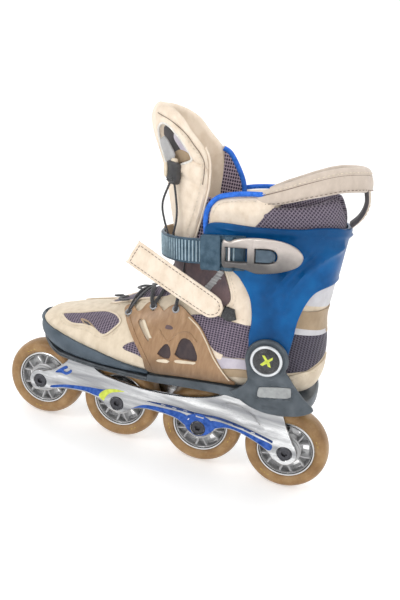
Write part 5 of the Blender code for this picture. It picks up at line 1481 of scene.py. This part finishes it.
def build_cages():
    """The smoked side cages with their windows, cream lips, eyelets and raised borders."""
    holes = CAGE_WINDOWS + [[(x + 2.3 * math.cos(a), z + 2.3 * math.sin(a))
        for a in np.radians(range(0, 360, 45))] for x, z in EYELETS]
    cage = side_panel("side_cages", CAGE, 2.5, CAGE_TAN, 1.7, sharp=(16,), holes=holes, clear_of_top=15.0,
        fold=False, slot="cage_plastic", bevel=0.5)
    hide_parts("side_cage_outer", "side_cage_inner")
    behind = [(-6, 106), (40, 110), (40, 130), (24, 138), (4, 130), (-8, 118)]
    side_panel("cage_backing", behind, 1.0, UNDER_CAGE, 0.8, fold=False, slot="cage_plastic")
    lips = [[(-1.2, 109.6), (10.6, 110.8), (10.7, 107.6), (-1.4, 106.3)], [(14.6, 112.6), (34.8, 115),
        (35.2, 112), (14.6, 109.6)], [(-21.5, 138.4), (-10, 124.6), (-8.4, 125.8), (-19.8, 139.9)]]
    for k, lip in enumerate(lips):
        side_panel(f"cage_lip_{k}", lip, 3.1, CREAM, 0.9, sharp="all", fold=False, slot="cage_plastic")
    side_panel("cage_tag", [(0.5, 136.4), (7.4, 137.4), (7.6, 141), (0.6, 140)], 2.9, FLAP, 0.6,
        sharp="all", fold=False, slot="cage_plastic")
    border = line([(64.5, 105.6), (49, 121), (39.5, 134), (30, 144.6), (19.5, 150.6)], 1.6)
    groove = line([(-33.5, 136), (-26, 127), (-17, 116), (-8.5, 104), (-3.5, 96.5)], 1.6)
    ridge = line([(-4, 134), (2, 128), (7, 127), (13, 134.5), (22, 138), (31, 132)], 1.6)
    for word, side in SIDES:
        for k, (path, mat, wide) in enumerate(((border, CREAM, 0.7), (groove, CAGE_TAN, 0.8),
                (ridge, CAGE_TAN, 0.7))):
            place = on_foot(side, 2.45)(path, np.zeros(len(path)))
            rib = swept(f"cage_rib_{k}_{word}", place, round_section(wide, 0.55, 8), mat, (0, -side, 1),
                "chassis")
        for k, (x, z) in enumerate(EYELETS):
            flat = np.array([(x, z), (x + 1.0, z), (x, z + 1.0)])
            p, px, pz = on_foot(side, 2.4)(flat, np.zeros(3))
            ahead = (px - p) / np.linalg.norm(px - p)
            out = np.cross(ahead, pz - p)
            out /= np.linalg.norm(out)
            out = out if out[1] * side > 0 else -out
            across = np.cross(out, ahead)
            angles = spin(28)
            rings = []
            for r, lift in ((2, -1.4), (1.75, 0.2), (2.3, 0.75), (3.2, 0.7), (3.7, 0.1), (3.6, -0.3),
                    (2.6, -0.4), (2.4, -1.4)):
                rings.append(np.array([p + out * lift + (ahead * math.cos(a) + across * math.sin(a)) * r
                    for a in angles]))
            ring = loft(f"eyelet_{k}_{word}", rings, EYELET, 50.0, "chassis", around=True)


def build_laces():
    """The lace, crossing over the instep from eyelet to eyelet, and its short ends."""
    def eye(k, side, lift=3.2):
        return on_foot(side, lift)(np.array([EYELETS[k]]), np.zeros(1))[0]

    section = round_section(1.75, 0.8, 10, 2.6)
    crossings = [(0, -1, 0, 1, 2.1), (0, -1, 1, 1, 2.6), (0, 1, 1, -1, 3.9), (1, -1, 2, 1, 2.6),
        (1, 1, 2, -1, 3.9), (2, -1, 2, 1, 2.4)]
    first = None
    for n, (a, side_a, b, side_b, lift) in enumerate(crossings):
        start, end = eye(a, side_a, 0.9), eye(b, side_b, 0.9)
        p, q = eye(a, side_a), eye(b, side_b)
        between = []
        for share in (0.1, 0.22, 0.36, 0.5, 0.64, 0.78, 0.9):
            x, y = p[0] + (q[0] - p[0]) * share, p[1] + (q[1] - p[1]) * share
            top = on_instep(lift)(np.array([(x, y)]), np.zeros(1))[0]
            between.append(top)
        path = line([start, p] + between + [q, end], 2.0)
        lace = swept(f"lace_cross_{n}", path, section, LACE, (0, 0, 1), "chassis")
        first = first or lace
    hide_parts("lace_zigzag")
    for n, (x, y, sway) in enumerate(((-46, -9, -1), (-38, 3, 1), (-56, 4, -1))):
        base = on_instep(2.8)(np.array([(x, y), (x - 4.0, y + 5.0 * sway), (x - 1.0, y + 10.0 * sway),
            (x + 5.0, y + 9.0 * sway)]), np.array([0, 2.2, 2.6, 0.2]))
        loop = swept(f"lace_turn_{n}", line(base, 1.6), section, LACE, (0, 0, 1), "chassis")


# ---------------------------------------------------------------- cuff, collar and heel loop

def band_round(wrap, points):
    """A closed (s, z) outline from its buckle-side half in (x, z), top to bottom, and its mirror."""
    half = wrap.flat(points, -1)
    half = [(max(s, 0.0), z) for s, z in half]
    back = [(-s, z) for s, z in half[::-1] if s > 1.0]
    return outline(half + back, 1.7)


def both(wrap, points):
    """The same (x, z) line on the buckle side and the inner side, as (s, z)."""
    there = wrap.flat(points, -1)
    return [np.array(there), np.array([(-s, z) for s, z in there])]


def ramp(value, start, stop):
    """An eased step from 0 at start to 1 at stop."""
    t = np.clip((np.asarray(value) - start) / (stop - start), 0.0, 1.0)
    return t * t * (3 - 2 * t)


CUFF_TOP = [(140, 250), (124, 251), (110, 249.5), (96, 246), (63, 241), (24, 236)]
CUFF_HALF = CUFF_TOP + [(21.5, 219), (25, 204), (42, 204), (50, 201.5), (58, 196), (67, 185), (71.5, 174),
    (73.5, 162), (73.8, 150)] + arc(*PIVOT, 15.5, 190, 360, 12) + [(110, 160), (110.5, 174), (113.5, 188),
    (119, 198), (128, 203), (140, 205)]


def build_cuff():
    """The blue moulded cuff, with its swept ridges and a bead along the top."""
    edge = band_round(ANKLE, CUFF_HALF)
    crest = both(ANKLE, [(106, 228), (100, 219), (94, 209.5), (87, 198), (81, 187)])
    lower = both(ANKLE, [(130, 236), (121, 229), (110, 217.5), (103, 207), (98, 194), (97, 178)])
    hollow = both(ANKLE, [(118, 234), (110, 224), (101, 212), (93, 199)])
    scoop = both(ANKLE, [(92, 188), (90, 176), (91, 166)])
    bead = both(ANKLE, [(26, 232), (62, 236.8), (94, 241.6), (112, 244.5), (126, 245.5), (138, 244.5)])
    seam = both(ANKLE, [(76.5, 156.5), (84, 158.4), (93, 159), (104, 158.6)])
    rear = [np.array([(0, 206), (0, 252)])]

    def height(points, d):
        h = np.zeros(len(points))
        for paths, width, amount in ((crest, 4.2, 2.6), (crest, 1.3, 0.8), (lower, 4.2, 2.1),
                (lower, 1.3, 0.8), (hollow, 3.4, -1.7), (scoop, 8.0, -1.3), (bead, 2.0, 1.3),
                (rear, 9.0, 0.9)):
            for path in paths:
                h = h + bump_along(points, path, width, amount)
        h = h * ramp(points[:, 1], 160.0, 172.0)
        for path in seam:
            h = h + bump_along(points, path, 0.8, -0.5)
        buckle = (points[:, 0] > 0) & (points[:, 1] > 196)
        near = ramp(points[:, 0], ANKLE.flat([(72, 220)], -1)[0][0], ANKLE.flat([(62, 220)], -1)[0][0])
        quiet = np.where(buckle, 1 - near * (points[:, 1] < 234), 1.0)
        h = h * quiet + 0.7 * (1 - ramp(d, 1.0, 3.2)) * ramp(points[:, 1], 168.0, 176.0) * quiet
        return h

    cuff = relief("cuff_shell", edge, ANKLE.place(0.0), CUFF_BLUE, 2.8, 1.2, height, step=2.0, under=0.9,
        body="cuff")
    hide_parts("cuff")


LINER_HALF = [(140, 250), (129, 264), (121, 273), (108, 268), (92, 262), (75, 258.5), (61, 260), (40, 258),
    (27, 253), (22, 243), (24, 230), (30, 214), (42, 208), (70, 207), (124, 206), (140, 206)]
PAD_EDGE = [(19.5, 243), (21.5, 251), (29, 257.2), (44, 261), (61, 264.5), (71, 264), (72, 256),
    (66.5, 247), (62, 238), (58, 228), (30, 224), (22, 231)]


def build_collar():
    """The padded collar: knitted mesh round the back, two suede pads in front, and the blue piping."""
    crown = lambda points, d: 1.0 * ramp(d, 0.0, 12.0) * ramp(points[:, 1], 246.0, 256.0)
    liner = relief("collar_liner", band_round(ANKLE, LINER_HALF), ANKLE.place(-3.7), MESH_BACK, 6.6, 3.0,
        crown, step=2.2, under=3.0, body="cuff")
    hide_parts("liner_collar")
    for word, sign, flat in (("outer", 1, ANKLE.flat(PAD_EDGE, -1)),
            ("inner", -1, ANKLE.flat(PAD_EDGE, -1))):
        edge = outline([(sign * s, z) for s, z in flat], 1.5)

        def puff(points, d):
            above = ramp(points[:, 1], 240.0, 250.0)
            s = points[:, 0] * sign
            creases = (bump_along(np.column_stack([s, points[:, 1]]),
                both(ANKLE, [(58, 244), (52, 249)])[0], 1.3, -1.1) + bump_along(np.column_stack([s,
                points[:, 1]]), both(ANKLE, [(66, 252), (55, 257)])[0], 1.2, -0.9))
            return (2.6 * ramp(d, 0.0, 9.0) + creases) * above

        pad = relief(f"collar_pad_{word}", edge, ANKLE.place(-3.4), SUEDE_PALE, 8.2, 3.6, puff, step=1.8,
            under=3.6, body="cuff")
        route = [(66, 267.2), (50, 264.8), (36, 261.4), (25.5, 257), (19.6, 250), (17.4, 242), (18.6, 233),
            (20.6, 226)]
        path = ANKLE.along([(sign * s, z) for s, z in ANKLE.flat(route, -1)], -4.2)
        piping = swept(f"collar_piping_{word}", path, round_section(2.1, points=12), PIPING,
            (0, -sign, 0.3), "cuff")
        row = ANKLE.flat([(24.5, 243.5), (26.5, 250.5), (33, 254.8), (46, 258.2), (60, 261.2)], -1)
        thread = stitches(f"pad_stitch_{word}", ANKLE.along([(sign * s, z) for s, z in row], -1.5), THREAD,
            "cuff")


LOOP_ROUTE = [(56, -34.6, 261.5), (64, -36.4, 264.5), (78, -37.2, 270.5), (96, -36, 279.2),
    (115, -28.5, 287), (130.5, -14.5, 290), (136, 0, 289.6)]


def build_heel_loop():
    """The padded loop: suede outside with a seam along its middle, dark lining inside, and its tab."""
    route = line(LOOP_ROUTE + [(x, -y, z) for x, y, z in LOOP_ROUTE[-2::-1]], 2.4)
    shares = np.linspace(-1, 1, len(route))
    tall = np.interp(np.abs(shares), [0, 0.45, 0.8, 0.93, 1], [9.8, 9.6, 7.6, 5.4, 3.6])
    thick = np.interp(np.abs(shares), [0, 0.85, 1], [4.3, 4.2, 2.6])
    sides, ups = frames_along(route, (0, 0, 1))
    if sides[0][1] > 0:
        sides = -sides
    sections = []
    angles = spin(40)
    for p, side, up, high, deep in zip(route, sides, ups, tall, thick):
        a = deep * power(np.cos(angles), 2.6)
        b = high * power(np.sin(angles), 2.6)
        a = a - np.where(a > 0, 0.9 * np.exp(-((b - 0.32 * high) / 0.8) ** 2), 0.0)
        a = a + np.where(a > 0, 0.5 * (1 - (b / high) ** 2), 0.0)
        sections.append(p + side * a[:, None] + up * b[:, None])
    loop = loft("heel_loop_band", sections, SUEDE_GREY, 50.0, "cuff")
    loop.data.materials.append(LINING)
    for n, face in enumerate(loop.data.polygons[:len(loop.data.polygons) - 2]):
        if 15 <= n % 40 <= 24:
            face.material_index = 1
    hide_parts("heel_loop")
    for k, (offset, radius, mat) in enumerate(((0.32, 0.4, DARK_THREAD), (-0.86, 0.3, DARK_THREAD),
            (0.52, 0.3, THREAD))):
        sunk = -0.3 if k == 0 else 0.12 - 0.5 * (k == 1)
        lie = np.array([p + side * (deep + sunk) + up * high * offset
            for p, side, up, high, deep in zip(route, sides, ups, tall, thick)])[3:-3]
        if k == 0:
            row = swept("loop_seam", lie, round_section(radius, points=6), mat, (0, 0, 1), "cuff")
        else:
            row = stitches(f"loop_stitch_{k}", lie, mat, "cuff", radius=radius)
    tab_path = line([(137.6, 0, 284), (140.6, 0, 272), (138.4, 0, 261), (132.6, 0, 252.6)], 1.6)
    tab = swept("heel_tab", tab_path, round_section(2.4, 11.5, 32, 4.0), LINING, (0, 1, 0), "cuff")
    tab.data.materials.append(SUEDE_GREY)
    for face in tab.data.polygons:
        face.material_index = int(face.normal.x > 0.5)
    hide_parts("loop_tab")
    for side in (-1, 1):
        row = stitches(f"tab_stitch_{side + 1}", tab_path + np.array([2.35, side * 9.2, 0.0]), THREAD,
            "cuff")


# ---------------------------------------------------------------- tongue

TONGUE_HALF = [(-54, 322), (-41, 322), (-28, 318.5), (-16, 312), (-3, 301), (8, 292), (12.5, 283),
    (15.5, 262), (13, 240), (8, 214), (0, 196), (-20, 196)]
POCKET = [(-37, 300), (-33, 305), (-25.4, 303.8), (-18, 299), (-10, 292.2), (-3, 285), (-1.5, 281),
    (-7, 277.6), (-15, 273.5), (-24, 272), (-31, 281), (-35, 291)]


def build_tongue():
    """The padded tongue: a broad suede border, a bound pocket, creases, and its mesh wings."""
    edge = band_round(SHIN, TONGUE_HALF)
    side = SHIN.flat(POCKET, -1)
    pocket = outline(side, 1.4)
    one = lambda pts: np.array(SHIN.flat(pts, -1))
    border = one([(-40, 312), (-28.3, 309.2), (-18.2, 305.3), (-9.3, 300), (-1.1, 292.9), (5.5, 287),
        (10, 279), (11, 264), (9, 244), (4, 220)])
    mirror = np.array([(-s, z) for s, z in border])
    fold = one([(-2.5, 282.5), (3.5, 279.6), (8, 278.6), (13, 275.5)])
    low = one([(-9, 268), (-2, 264.5), (6, 262.6), (13, 259.5)])
    faint = [one([(-24, 262), (-12, 256), (2, 254)]), one([(-20, 247), (-6, 243), (6, 240)]),
        one([(-30, 270), (-20, 266), (-10, 268)])]

    def height(points, d):
        hollow = inside(points, [pocket])
        gap = distance(points, [pocket])
        h = 1.1 * ramp(d, 0.0, 10.0)
        h = h + bump_along(points, border, 1.5, -1.5) + bump_along(points, mirror, 1.5, -1.5)
        h = h + bump_along(points, fold, 1.3, -2.2) + bump_along(points, fold + (0, 4), 3.0, 0.9)
        h = h + bump_along(points, low, 2.0, -1.2) + bump_along(points, low + (0, 4.5), 3.5, 0.8)
        for path in faint:
            h = h + bump_along(points, path, 2.2, -0.5)
        h = h + 0.8 * np.exp(-((gap - 3.4) / 1.6) ** 2) * ~hollow
        h = h - 0.7 * np.exp(-((gap - 5.8) / 0.8) ** 2) * ~hollow
        return np.where(hollow, -4.2 * ramp(gap, 0.0, 1.6) - 0.1, h)

    tongue = relief("tongue_pad", edge, SHIN.place(0.0), SUEDE_PALE, 8.6, 4.2, height, step=1.7, under=4.2,
        body="tongue")
    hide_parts("tongue")
    # The pocket's floor in the dark lining colour: partly the real lining, partly painted shade deep inside
    # the pocket.
    floor = relief("pocket_lining_and_shade", outline([tuple(p) for p in inset(pocket, 1.0)[::3]], 1.4),
        SHIN.place(-3.7), LINING, 0.6, 0.3, body="tongue")
    shade = [(-21, 300), (-12, 293.5), (-5.5, 286.5), (-9, 283), (-16, 288), (-22, 295)]
    pale = relief("pocket_wall", outline(SHIN.flat(shade, -1), 1.2), SHIN.place(-2.4), LILAC, 1.4, 0.6,
        body="tongue")
    warm = [(-13, 287), (-4, 284.5), (-3.5, 280.5), (-8, 278.8), (-16, 275.2), (-22, 275), (-20, 283)]
    tan = relief("pocket_fold", outline(SHIN.flat(warm, -1), 1.2), SHIN.place(-1.9), TAN_SUEDE, 1.4, 0.8,
        body="tongue")
    path = SHIN.place(0.25)(pocket, np.zeros(len(pocket)))
    rim = swept("pocket_binding", path, round_section(1.15, points=10), WHITE_BINDING, (-1, 0, 0.5),
        "tongue", closed=True)
    for word, sign in (("outer", 1), ("inner", -1)):
        lie = SHIN.along([(sign * s, z) for s, z in border[:8]], 0.05)
        dark = swept(f"tongue_seam_{word}_0", lie, round_section(0.3, points=6), DARK_THREAD, (-1, 0, 0.5),
            "tongue")
        row = [(sign * s, z) for s, z in border[2:]]
        lie = SHIN.along([(s - sign * 1.9, z - 1.4) for s, z in row], 1.15)
        thread = stitches(f"tongue_stitch_{word}", lie, THREAD, "tongue")
        trim = [(8, 293.5), (13.2, 284), (16.4, 262), (14, 240), (9.4, 216), (3, 200)]
        lie = SHIN.along([(sign * s, z) for s, z in SHIN.flat(trim, -1)], -2.6)
        bound = swept(f"tongue_binding_{word}", lie, round_section(0.9, points=8), SUEDE_PALE,
            (0, -sign, 0.3), "tongue")
    for word, sign, shape in (("inner", 1, [(12, 262), (10.5, 283), (8.5, 291.5), (15, 288.5),
            (22.5, 279.5), (30.5, 267), (34.5, 254), (30, 240), (26, 214), (12, 206), (4, 210), (10, 238)]),
            ("outer", -1, [(3, 202), (10, 238), (11.5, 252), (22, 253), (27, 240), (29, 218), (24, 203)])):
        wing = relief(f"tongue_mesh_{word}", outline(shape, 1.6), upright_at(29.0, sign), MESH_TONGUE, 2.0,
            0.7, lambda points, d: -0.8 * ramp(d, 0.0, 14.0), under=0.5, body="tongue")
        if word == "inner":
            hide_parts("tongue_gusset")
    route = [(8.6, 28.2, 291.2), (15.2, 28.2, 288.2), (23, 28.2, 279.2), (31, 28.2, 266.8),
        (34.6, 28.2, 254.5), (35, 28.2, 246), (33, 28.2, 236)]
    edge_piping = swept("wing_piping", line(route, 1.6), round_section(2.3, points=12), PIPING, (0, 1, 0),
        "tongue")


LOCK = (-15.1, -33.7, 268)
LOCK_FACING = math.radians(60.3)
LOCK_LEAN = 0.22


def lock_at(n):
    """A place function for (t, z) points on the lock's face, n out from its middle."""
    c, s = math.cos(LOCK_FACING), math.sin(LOCK_FACING)

    def put(points, h):
        t, z = points[:, 0], points[:, 1]
        out = n + h + LOCK_LEAN * (z - LOCK[2])
        return np.column_stack([LOCK[0] + t * s - out * c, LOCK[1] - t * c - out * s, z])
    return put


def build_lace_lock():
    """The lace lock on the tongue, the clip above it, and the two strands that run up to it."""
    case = outline([(-4.7, 277), (-6, 270), (-5.6, 264), (-3.4, 260), (0, 259), (3.5, 259.6), (5.2, 263.5),
        (5.8, 269), (5.4, 276), (3, 277.4), (0, 277.8), (-3, 277.6)], 1.0)
    lock = relief("lock_case", case, lock_at(5.2), BLACK_PLASTIC, 9.6, 2.8,
        lambda points, d: -0.8 * ((points[:, 1] - 268.0) / 10.0) ** 2, step=1.1, under=2.6, body="tongue")
    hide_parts("lace_toggle")
    for k in range(3):
        flat = line([(-3.2, 262.0 + 1.7 * k), (0.8, 261.4 + 1.7 * k), (4.4, 262.0 + 1.7 * k)], 1.0)
        rib = swept(f"lock_rib_{k}", lock_at(5.0)(flat, np.zeros(len(flat))), round_section(0.45, points=6),
            BLACK_PLASTIC, (0, 0, 1), "tongue")
    x, y, _ = lock_at(0.0)(np.array([(0, 273)]), 0.0)[0]
    angles = spin(32)
    rings = [np.column_stack([x + r * np.cos(angles), y + r * np.sin(angles), np.full(32, z)])
        for r, z in ((2.9, 271.6), (2.9, 278.4), (2.7, 279.3), (2.1, 279.9), (1, 280.1))]
    plunger = loft("lock_plunger", rings, CREAM, 40.0, "toggle_plunger")
    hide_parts("toggle_plunger")
    button = relief("lock_window", outline([(-5.4, 270), (-4.8, 275.2), (-2.8, 275.6), (-1.8, 271.5),
        (-2.4, 265.5), (-4.2, 264.2), (-5.2, 266.5)], 0.8), lock_at(6.7), CREAM, 2.4, 0.8,
        lambda points, d: -0.06 * (points[:, 0] + 3.0) ** 2 * (points[:, 0] < -3.0), step=0.9,
        body="tongue")
    route = line([(-17.6, -33.6, 278.2), (-20.4, -32.2, 281), (-25, -30.6, 286.5), (-30.6, -28.9, 293.6)],
        0.9)
    scale = np.interp(np.linspace(0, 1, len(route)), [0, 0.1, 0.3, 0.8, 1], [0.6, 0.95, 1.05, 0.9, 0.6])
    clip_body = swept("clip_body", route, round_section(1.9, 5.2, 24, 2.8), CLIP_GREY, (0.849, -0.529, 0),
        "tongue", scale)
    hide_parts("lace_clip")
    strands = [[(-16.8, -33.8, 260.5), (-20.4, -33, 247), (-20.8, -31.6, 238), (-17.6, -31, 228),
        (-13.6, -30.4, 219), (-10, -29, 210)], [(-13, -34.4, 260.5), (-9.8, -33.2, 248), (-7.8, -32.6, 239),
        (-7.2, -31.4, 229), (-8.2, -30.2, 219), (-9, -29, 210)], [(-16.4, -34.6, 276), (-17.6, -34.2, 279),
        (-20, -32.9, 282.4)]]
    for k, points in enumerate(strands):
        strand = cord(f"lock_strand_{k}", points, 0.95 if k < 2 else 0.8, LACE, "tongue", 1.4, 10)
        if k == 0:
            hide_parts("lace_loop")


# ---------------------------------------------------------------- ankle strap and buckle

def on_strap(u, y, v):
    """Places from distances along the tilted strap plane, across the boot, and up the strap's width."""
    c, s = math.cos(STRAP_TILT), math.sin(STRAP_TILT)
    u, y, v = np.broadcast_arrays(u, y, v)
    return np.column_stack([STRAP_ROOT[0] + u * c - v * s, y, STRAP_MID_Z + u * s + v * c])


def ladder_y(u):
    """The place across the boot of the ladder strap's curve in front of the cuff."""
    return STRAP_ROOT[1] - math.sqrt(LADDER_R ** 2 - u ** 2)


def strap_at(y, side=-1):
    """A place function for (u, v) points on a plane facing one side."""
    def put(points, h):
        return on_strap(points[:, 0], side * (y + h), points[:, 1])
    return put


def along_strap(path):
    """A place function for (distance, v) points on a band that stands on a path of (u, y)."""
    path = np.asarray(path)
    run = np.concatenate([[0], np.cumsum(np.linalg.norm(np.diff(path, axis=0), axis=1))])
    ahead = np.gradient(path, axis=0)
    ahead /= np.linalg.norm(ahead, axis=1)[:, None]
    out = np.column_stack([ahead[:, 1], -ahead[:, 0]])
    middle = np.array([10, 0])
    if ((path - middle) * out).sum() < 0:
        out = -out

    def put(points, h):
        t = points[:, 0]
        at = [np.interp(t, run, path[:, k]) + np.interp(t, run, out[:, k]) * h for k in (0, 1)]
        return on_strap(at[0], at[1], points[:, 1])
    return put, run[-1]


def keep(name, mat, bevel=0.0):
    """A CAD piece that shows as it is, in a better finish."""
    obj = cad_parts[name]
    obj.data.materials.clear()
    obj.data.materials.append(mat)
    if bevel:
        mod = obj.modifiers.new("edges", "BEVEL")
        mod.width = bevel * MM
        mod.segments = 3
        mod.limit_method = "ANGLE"
        mod.angle_limit = math.radians(35)
    return obj


def build_strap():
    """The ladder strap with its ridges, the pad it is sewn to, and the pad's fixed end."""
    through = [(u, ladder_y(u)) for u in (17, 10, 3, -4, -11, -18)]
    path = line(through + [(-34, -44), (-50, -33), (-61, -16), (-65, 1)], 1.2)
    put, total = along_strap(path)
    edge = outline([(0, -8.5), (0, 8.5), (3, 10.3), (14, 10.5), (total * 0.5, 10.5), (total, 10.5),
        (total, -10.5), (total * 0.5, -10.5), (14, -10.5), (3, -10.3)], 1.6, sharp=(5, 6))
    strap = relief("ladder_band", edge, lambda p, h: put(p, h + 1.0), LADDER, 2.0, 0.6, step=1.8, under=0.4,
        body="ankle_strap")
    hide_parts("ladder_strap")
    count = 32
    for k in range(count):
        t = 8.0 + (total - 12.0) * k / (count - 1)
        bar_flat = np.column_stack([np.full(15, t), np.linspace(-8.6, 8.6, 15)])
        lie = put(bar_flat, np.full(15, 1.05))
        size = 0.5 if t < 38.0 else 0.9
        # Each ridge in the pale colour of a painted highlight on its crest.
        bar = swept(f"ladder_ridge_{k}", lie, round_section(0.72, size, 8, 2.4), LADDER_RIDGE_HIGHLIGHT, (0, -1, 0),
            "ankle_strap")
    for v in (-9.6, 9.6):
        flat = np.column_stack([np.linspace(14.0, total - 1.0, 60), np.full(60, v)])
        rail = swept(f"ladder_rail_{int(v > 0)}", put(flat, np.full(60, 1.0)), round_section(0.75, 0.5, 8),
            LADDER, (0, 0, 1), "ankle_strap")
    pad_path = line([(-65.3, 0.5), (-62, 16), (-52, 31), (-36, 41), (-18, 45.6), (-1.6, 46)], 1.4)
    put, total = along_strap(pad_path)
    edge = outline([(0, -12), (0, 12), (total * 0.5, 12.0), (total * 0.8, 11.2), (total, 11.0),
        (total, -11.0), (total * 0.8, -11.2), (total * 0.5, -12.0)], 1.6, sharp=(0, 1, 4, 5))
    pad = relief("strap_pad_suede", edge, lambda p, h: put(p, h + 1.6), TAN_SUEDE, 3.2, 1.3,
        lambda points, d: 0.6 * ramp(d, 2.5, 8.0) * (1 - ramp(points[:, 0], 20, 90)), under=1.0,
        body="ankle_strap")
    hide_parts("strap_pad")
    for v in (-9.8, 9.8):
        flat = np.column_stack([np.linspace(2.0, total - 3.0, 90), np.full(90, v)])
        row = stitches(f"pad_row_{int(v > 0)}", put(flat, np.full(90, 1.7)), THREAD, "ankle_strap")
    root = relief("strap_root_suede", outline([(2.4, -11), (18, -11), (24, -7), (24, 7), (18, 11),
        (2.4, 11)], 1.4), strap_at(47.2, 1), TAN_SUEDE, 2.4, 0.7, under=0.4, body="cuff")
    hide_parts("strap_root")
    x, _, z = on_strap(14.0, 0.0, 0.0)[0]
    rivet = turned("strap_rivet_head", [(0, 39.9), (2.5, 39.9), (2.5, 47.3), (5, 47.3), (5, 47.8),
        (4.3, 48.7), (2.4, 49.2), (0, 49.3)], STEEL, (x, z), 48, "cuff", around=False)
    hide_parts("strap_rivet")


def build_buckle():
    """The buckle base on the cuff, the lever with its window, and the release button."""
    keep("buckle_base", LADDER, 0.7)
    keep("lever_pin", STEEL)
    keep("ratchet_pawl", STEEL)
    sleeve = relief("buckle_sleeve", outline([(-17.5, -13), (-17.8, 0), (-17.5, 13), (-14, 14.2),
        (-6, 14.2), (-1.4, 13.4), (-0.9, 0), (-1.4, -13.4), (-6, -14.2), (-14, -14.2)], 1.2),
        strap_at(51.5), LADDER, 1.4, 0.9, lambda points, d: 0.9 * (1 - (points[:, 1] / 15.0) ** 2),
        body="cuff")
    edge = outline([(1, -10.2), (1, 10.4), (7, 10.6), (12, 12.3), (22, 13.6), (34, 13.7), (48, 11.9),
        (58, 8.2), (63.5, 3.2), (64.6, -1.5), (60.5, -7.5), (48, -12.2), (34, -14.2), (27, -14),
        (20, -11.8), (12, -10.4)], 1.3)
    window = outline([(3.4, -5.4), (3.4, 5.4), (21, 5.4), (21, -5.4)], 1.2, sharp="all")
    hole = outline([(27.4, -5.6), (38.6, -5.6), (43.4, -3.8), (45, 0), (43.4, 3.8), (38.6, 5.6),
        (27.4, 5.6)], 1.0, sharp=(0, 6))

    def height(points, d):
        u, v = points[:, 0], points[:, 1]
        h = 0.7 * ramp(d, 1.0, 7.0) * ramp(u, 24.0, 34.0)
        h = h - 1.5 * (1 - ramp(u, 3.0, 10.0)) - 0.9 * ramp(u, 46.0, 64.0)
        h = h + bump_along(points, [(25, -14), (24.6, -6), (25.4, 6), (27, 14)], 0.5, -0.7)
        h = h + bump_along(points, [(28, -8.6), (40, -8.2), (50, -6.2), (58, -1)], 1.6, -0.5)
        rails = (np.abs(v) > 5.4) & (u < 24)
        return h + np.where(rails, 0.35 * np.cos((np.abs(v) - 8.2) * 0.9), 0.0)

    lever = relief("lever_shell", edge, strap_at(55.0), LEVER, 4.6, 1.7, height, (window, hole), step=1.2,
        under=0.8, body="lever")
    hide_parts("buckle_lever")
    knob = relief("release_knob", outline([(28, -4.9), (38.4, -4.9), (42.4, -3.2), (43.8, 0), (42.4, 3.2),
        (38.4, 4.9), (28, 4.9)], 0.9, sharp=(0, 6)), strap_at(54.8), BUTTON, 3.2, 0.9,
        lambda points, d: 0.5 * ramp(d, 0.5, 3.5), step=1.0, body="release_button")
    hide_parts("release_button")


def build_instep_strap():
    """The open hook-and-loop strap: suede outside, dark lining behind, stitched all round, and its anchor."""
    start, end = np.array(INSTEP_ROOT), np.array(INSTEP_TIP)
    ahead = (end - start) / np.linalg.norm(end - start)
    out = np.array([0, -1, 0])
    up = np.cross(ahead, out)
    up /= np.linalg.norm(up)
    up = up if up[2] > 0 else -up
    face = np.cross(up, ahead)
    face = face if face[1] < 0 else -face
    length = np.linalg.norm(end - start)

    def put_at(base):
        def put(points, h):
            share = points[:, 0] / length
            middle = start + ahead * points[:, :1] + out * (0.9 * np.sin(math.pi * share))[:, None]
            return middle + up * points[:, 1:] + face * (h + base)[:, None]
        return put

    edge = outline([(0, -4), (-0.8, 0), (0, 4), (3, 7.6), (9, 10.2), (length * 0.35, 10.7),
        (length * 0.6, 10.8), (length - 2.2, 11.0), (length, 9.4), (length, -9.4), (length - 2.2, -11.0),
        (length * 0.6, -10.8), (length * 0.35, -10.7), (9, -10.2), (3, -7.6)], 1.5)
    wear = [np.array([(length * 0.3, -10.0), (length * 0.33, 0.0), (length * 0.3, 10.0)]),
        np.array([(length * 0.62, -10.0), (length * 0.6, 10.0)])]

    def puff(points, d):
        h = 0.45 * ramp(d, 2.6, 6.0)
        for path in wear:
            h = h + bump_along(points, path, 3.0, -0.3)
        return h - 0.35 * np.exp(-((d - 2.6) / 0.6) ** 2)

    outside = relief("instep_strap_suede", edge, put_at(1.3), SUEDE_PALE, 1.5, 0.9, puff, step=1.6,
        under=0.3, body="instep_strap")
    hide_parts("instep_strap")
    back = relief("instep_strap_lining", outline([tuple(p) for p in inset(edge, 0.5)[::3]], 1.6),
        put_at(-0.15), LINING, 1.2, 0.4, step=2.2, under=0.4, body="instep_strap")
    border = inset(edge, 2.6)
    lie = put_at(1.25)(border, np.zeros(len(border)))
    thread = stitches("instep_strap_stitch", lie, DARK_THREAD, "instep_strap", long=2.6, gap=0.9,
        radius=0.3, closed=True)
    anchor = relief("anchor_patch", outline([(47, 161), (54, 157.8), (60.5, 161), (57.5, 169.5),
        (49, 170.5)], 1.4, "all"), upright_at(41.8, -1), GLOSS_BLACK, 2.4, 0.7, body="chassis")
    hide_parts("strap_anchor")


def build_inside():
    """The footbed, seen down through the boot's opening."""
    keep("footbed", LINING, 1.5)


# ---------------------------------------------------------------- the scene, put together

build_camera()
build_light()
build_stage()
for index, wheel_x in enumerate(WHEEL_X, 1):
    build_wheel(index, wheel_x)
    build_bolt(index, wheel_x)
build_frame()
build_decals()
build_chassis()
build_rand()
build_upper()
build_panels()
build_heel()
build_throat()
build_cages()
build_laces()
build_cuff()
build_collar()
build_heel_loop()
build_tongue()
build_lace_lock()
build_strap()
build_buckle()
build_instep_strap()
build_inside()
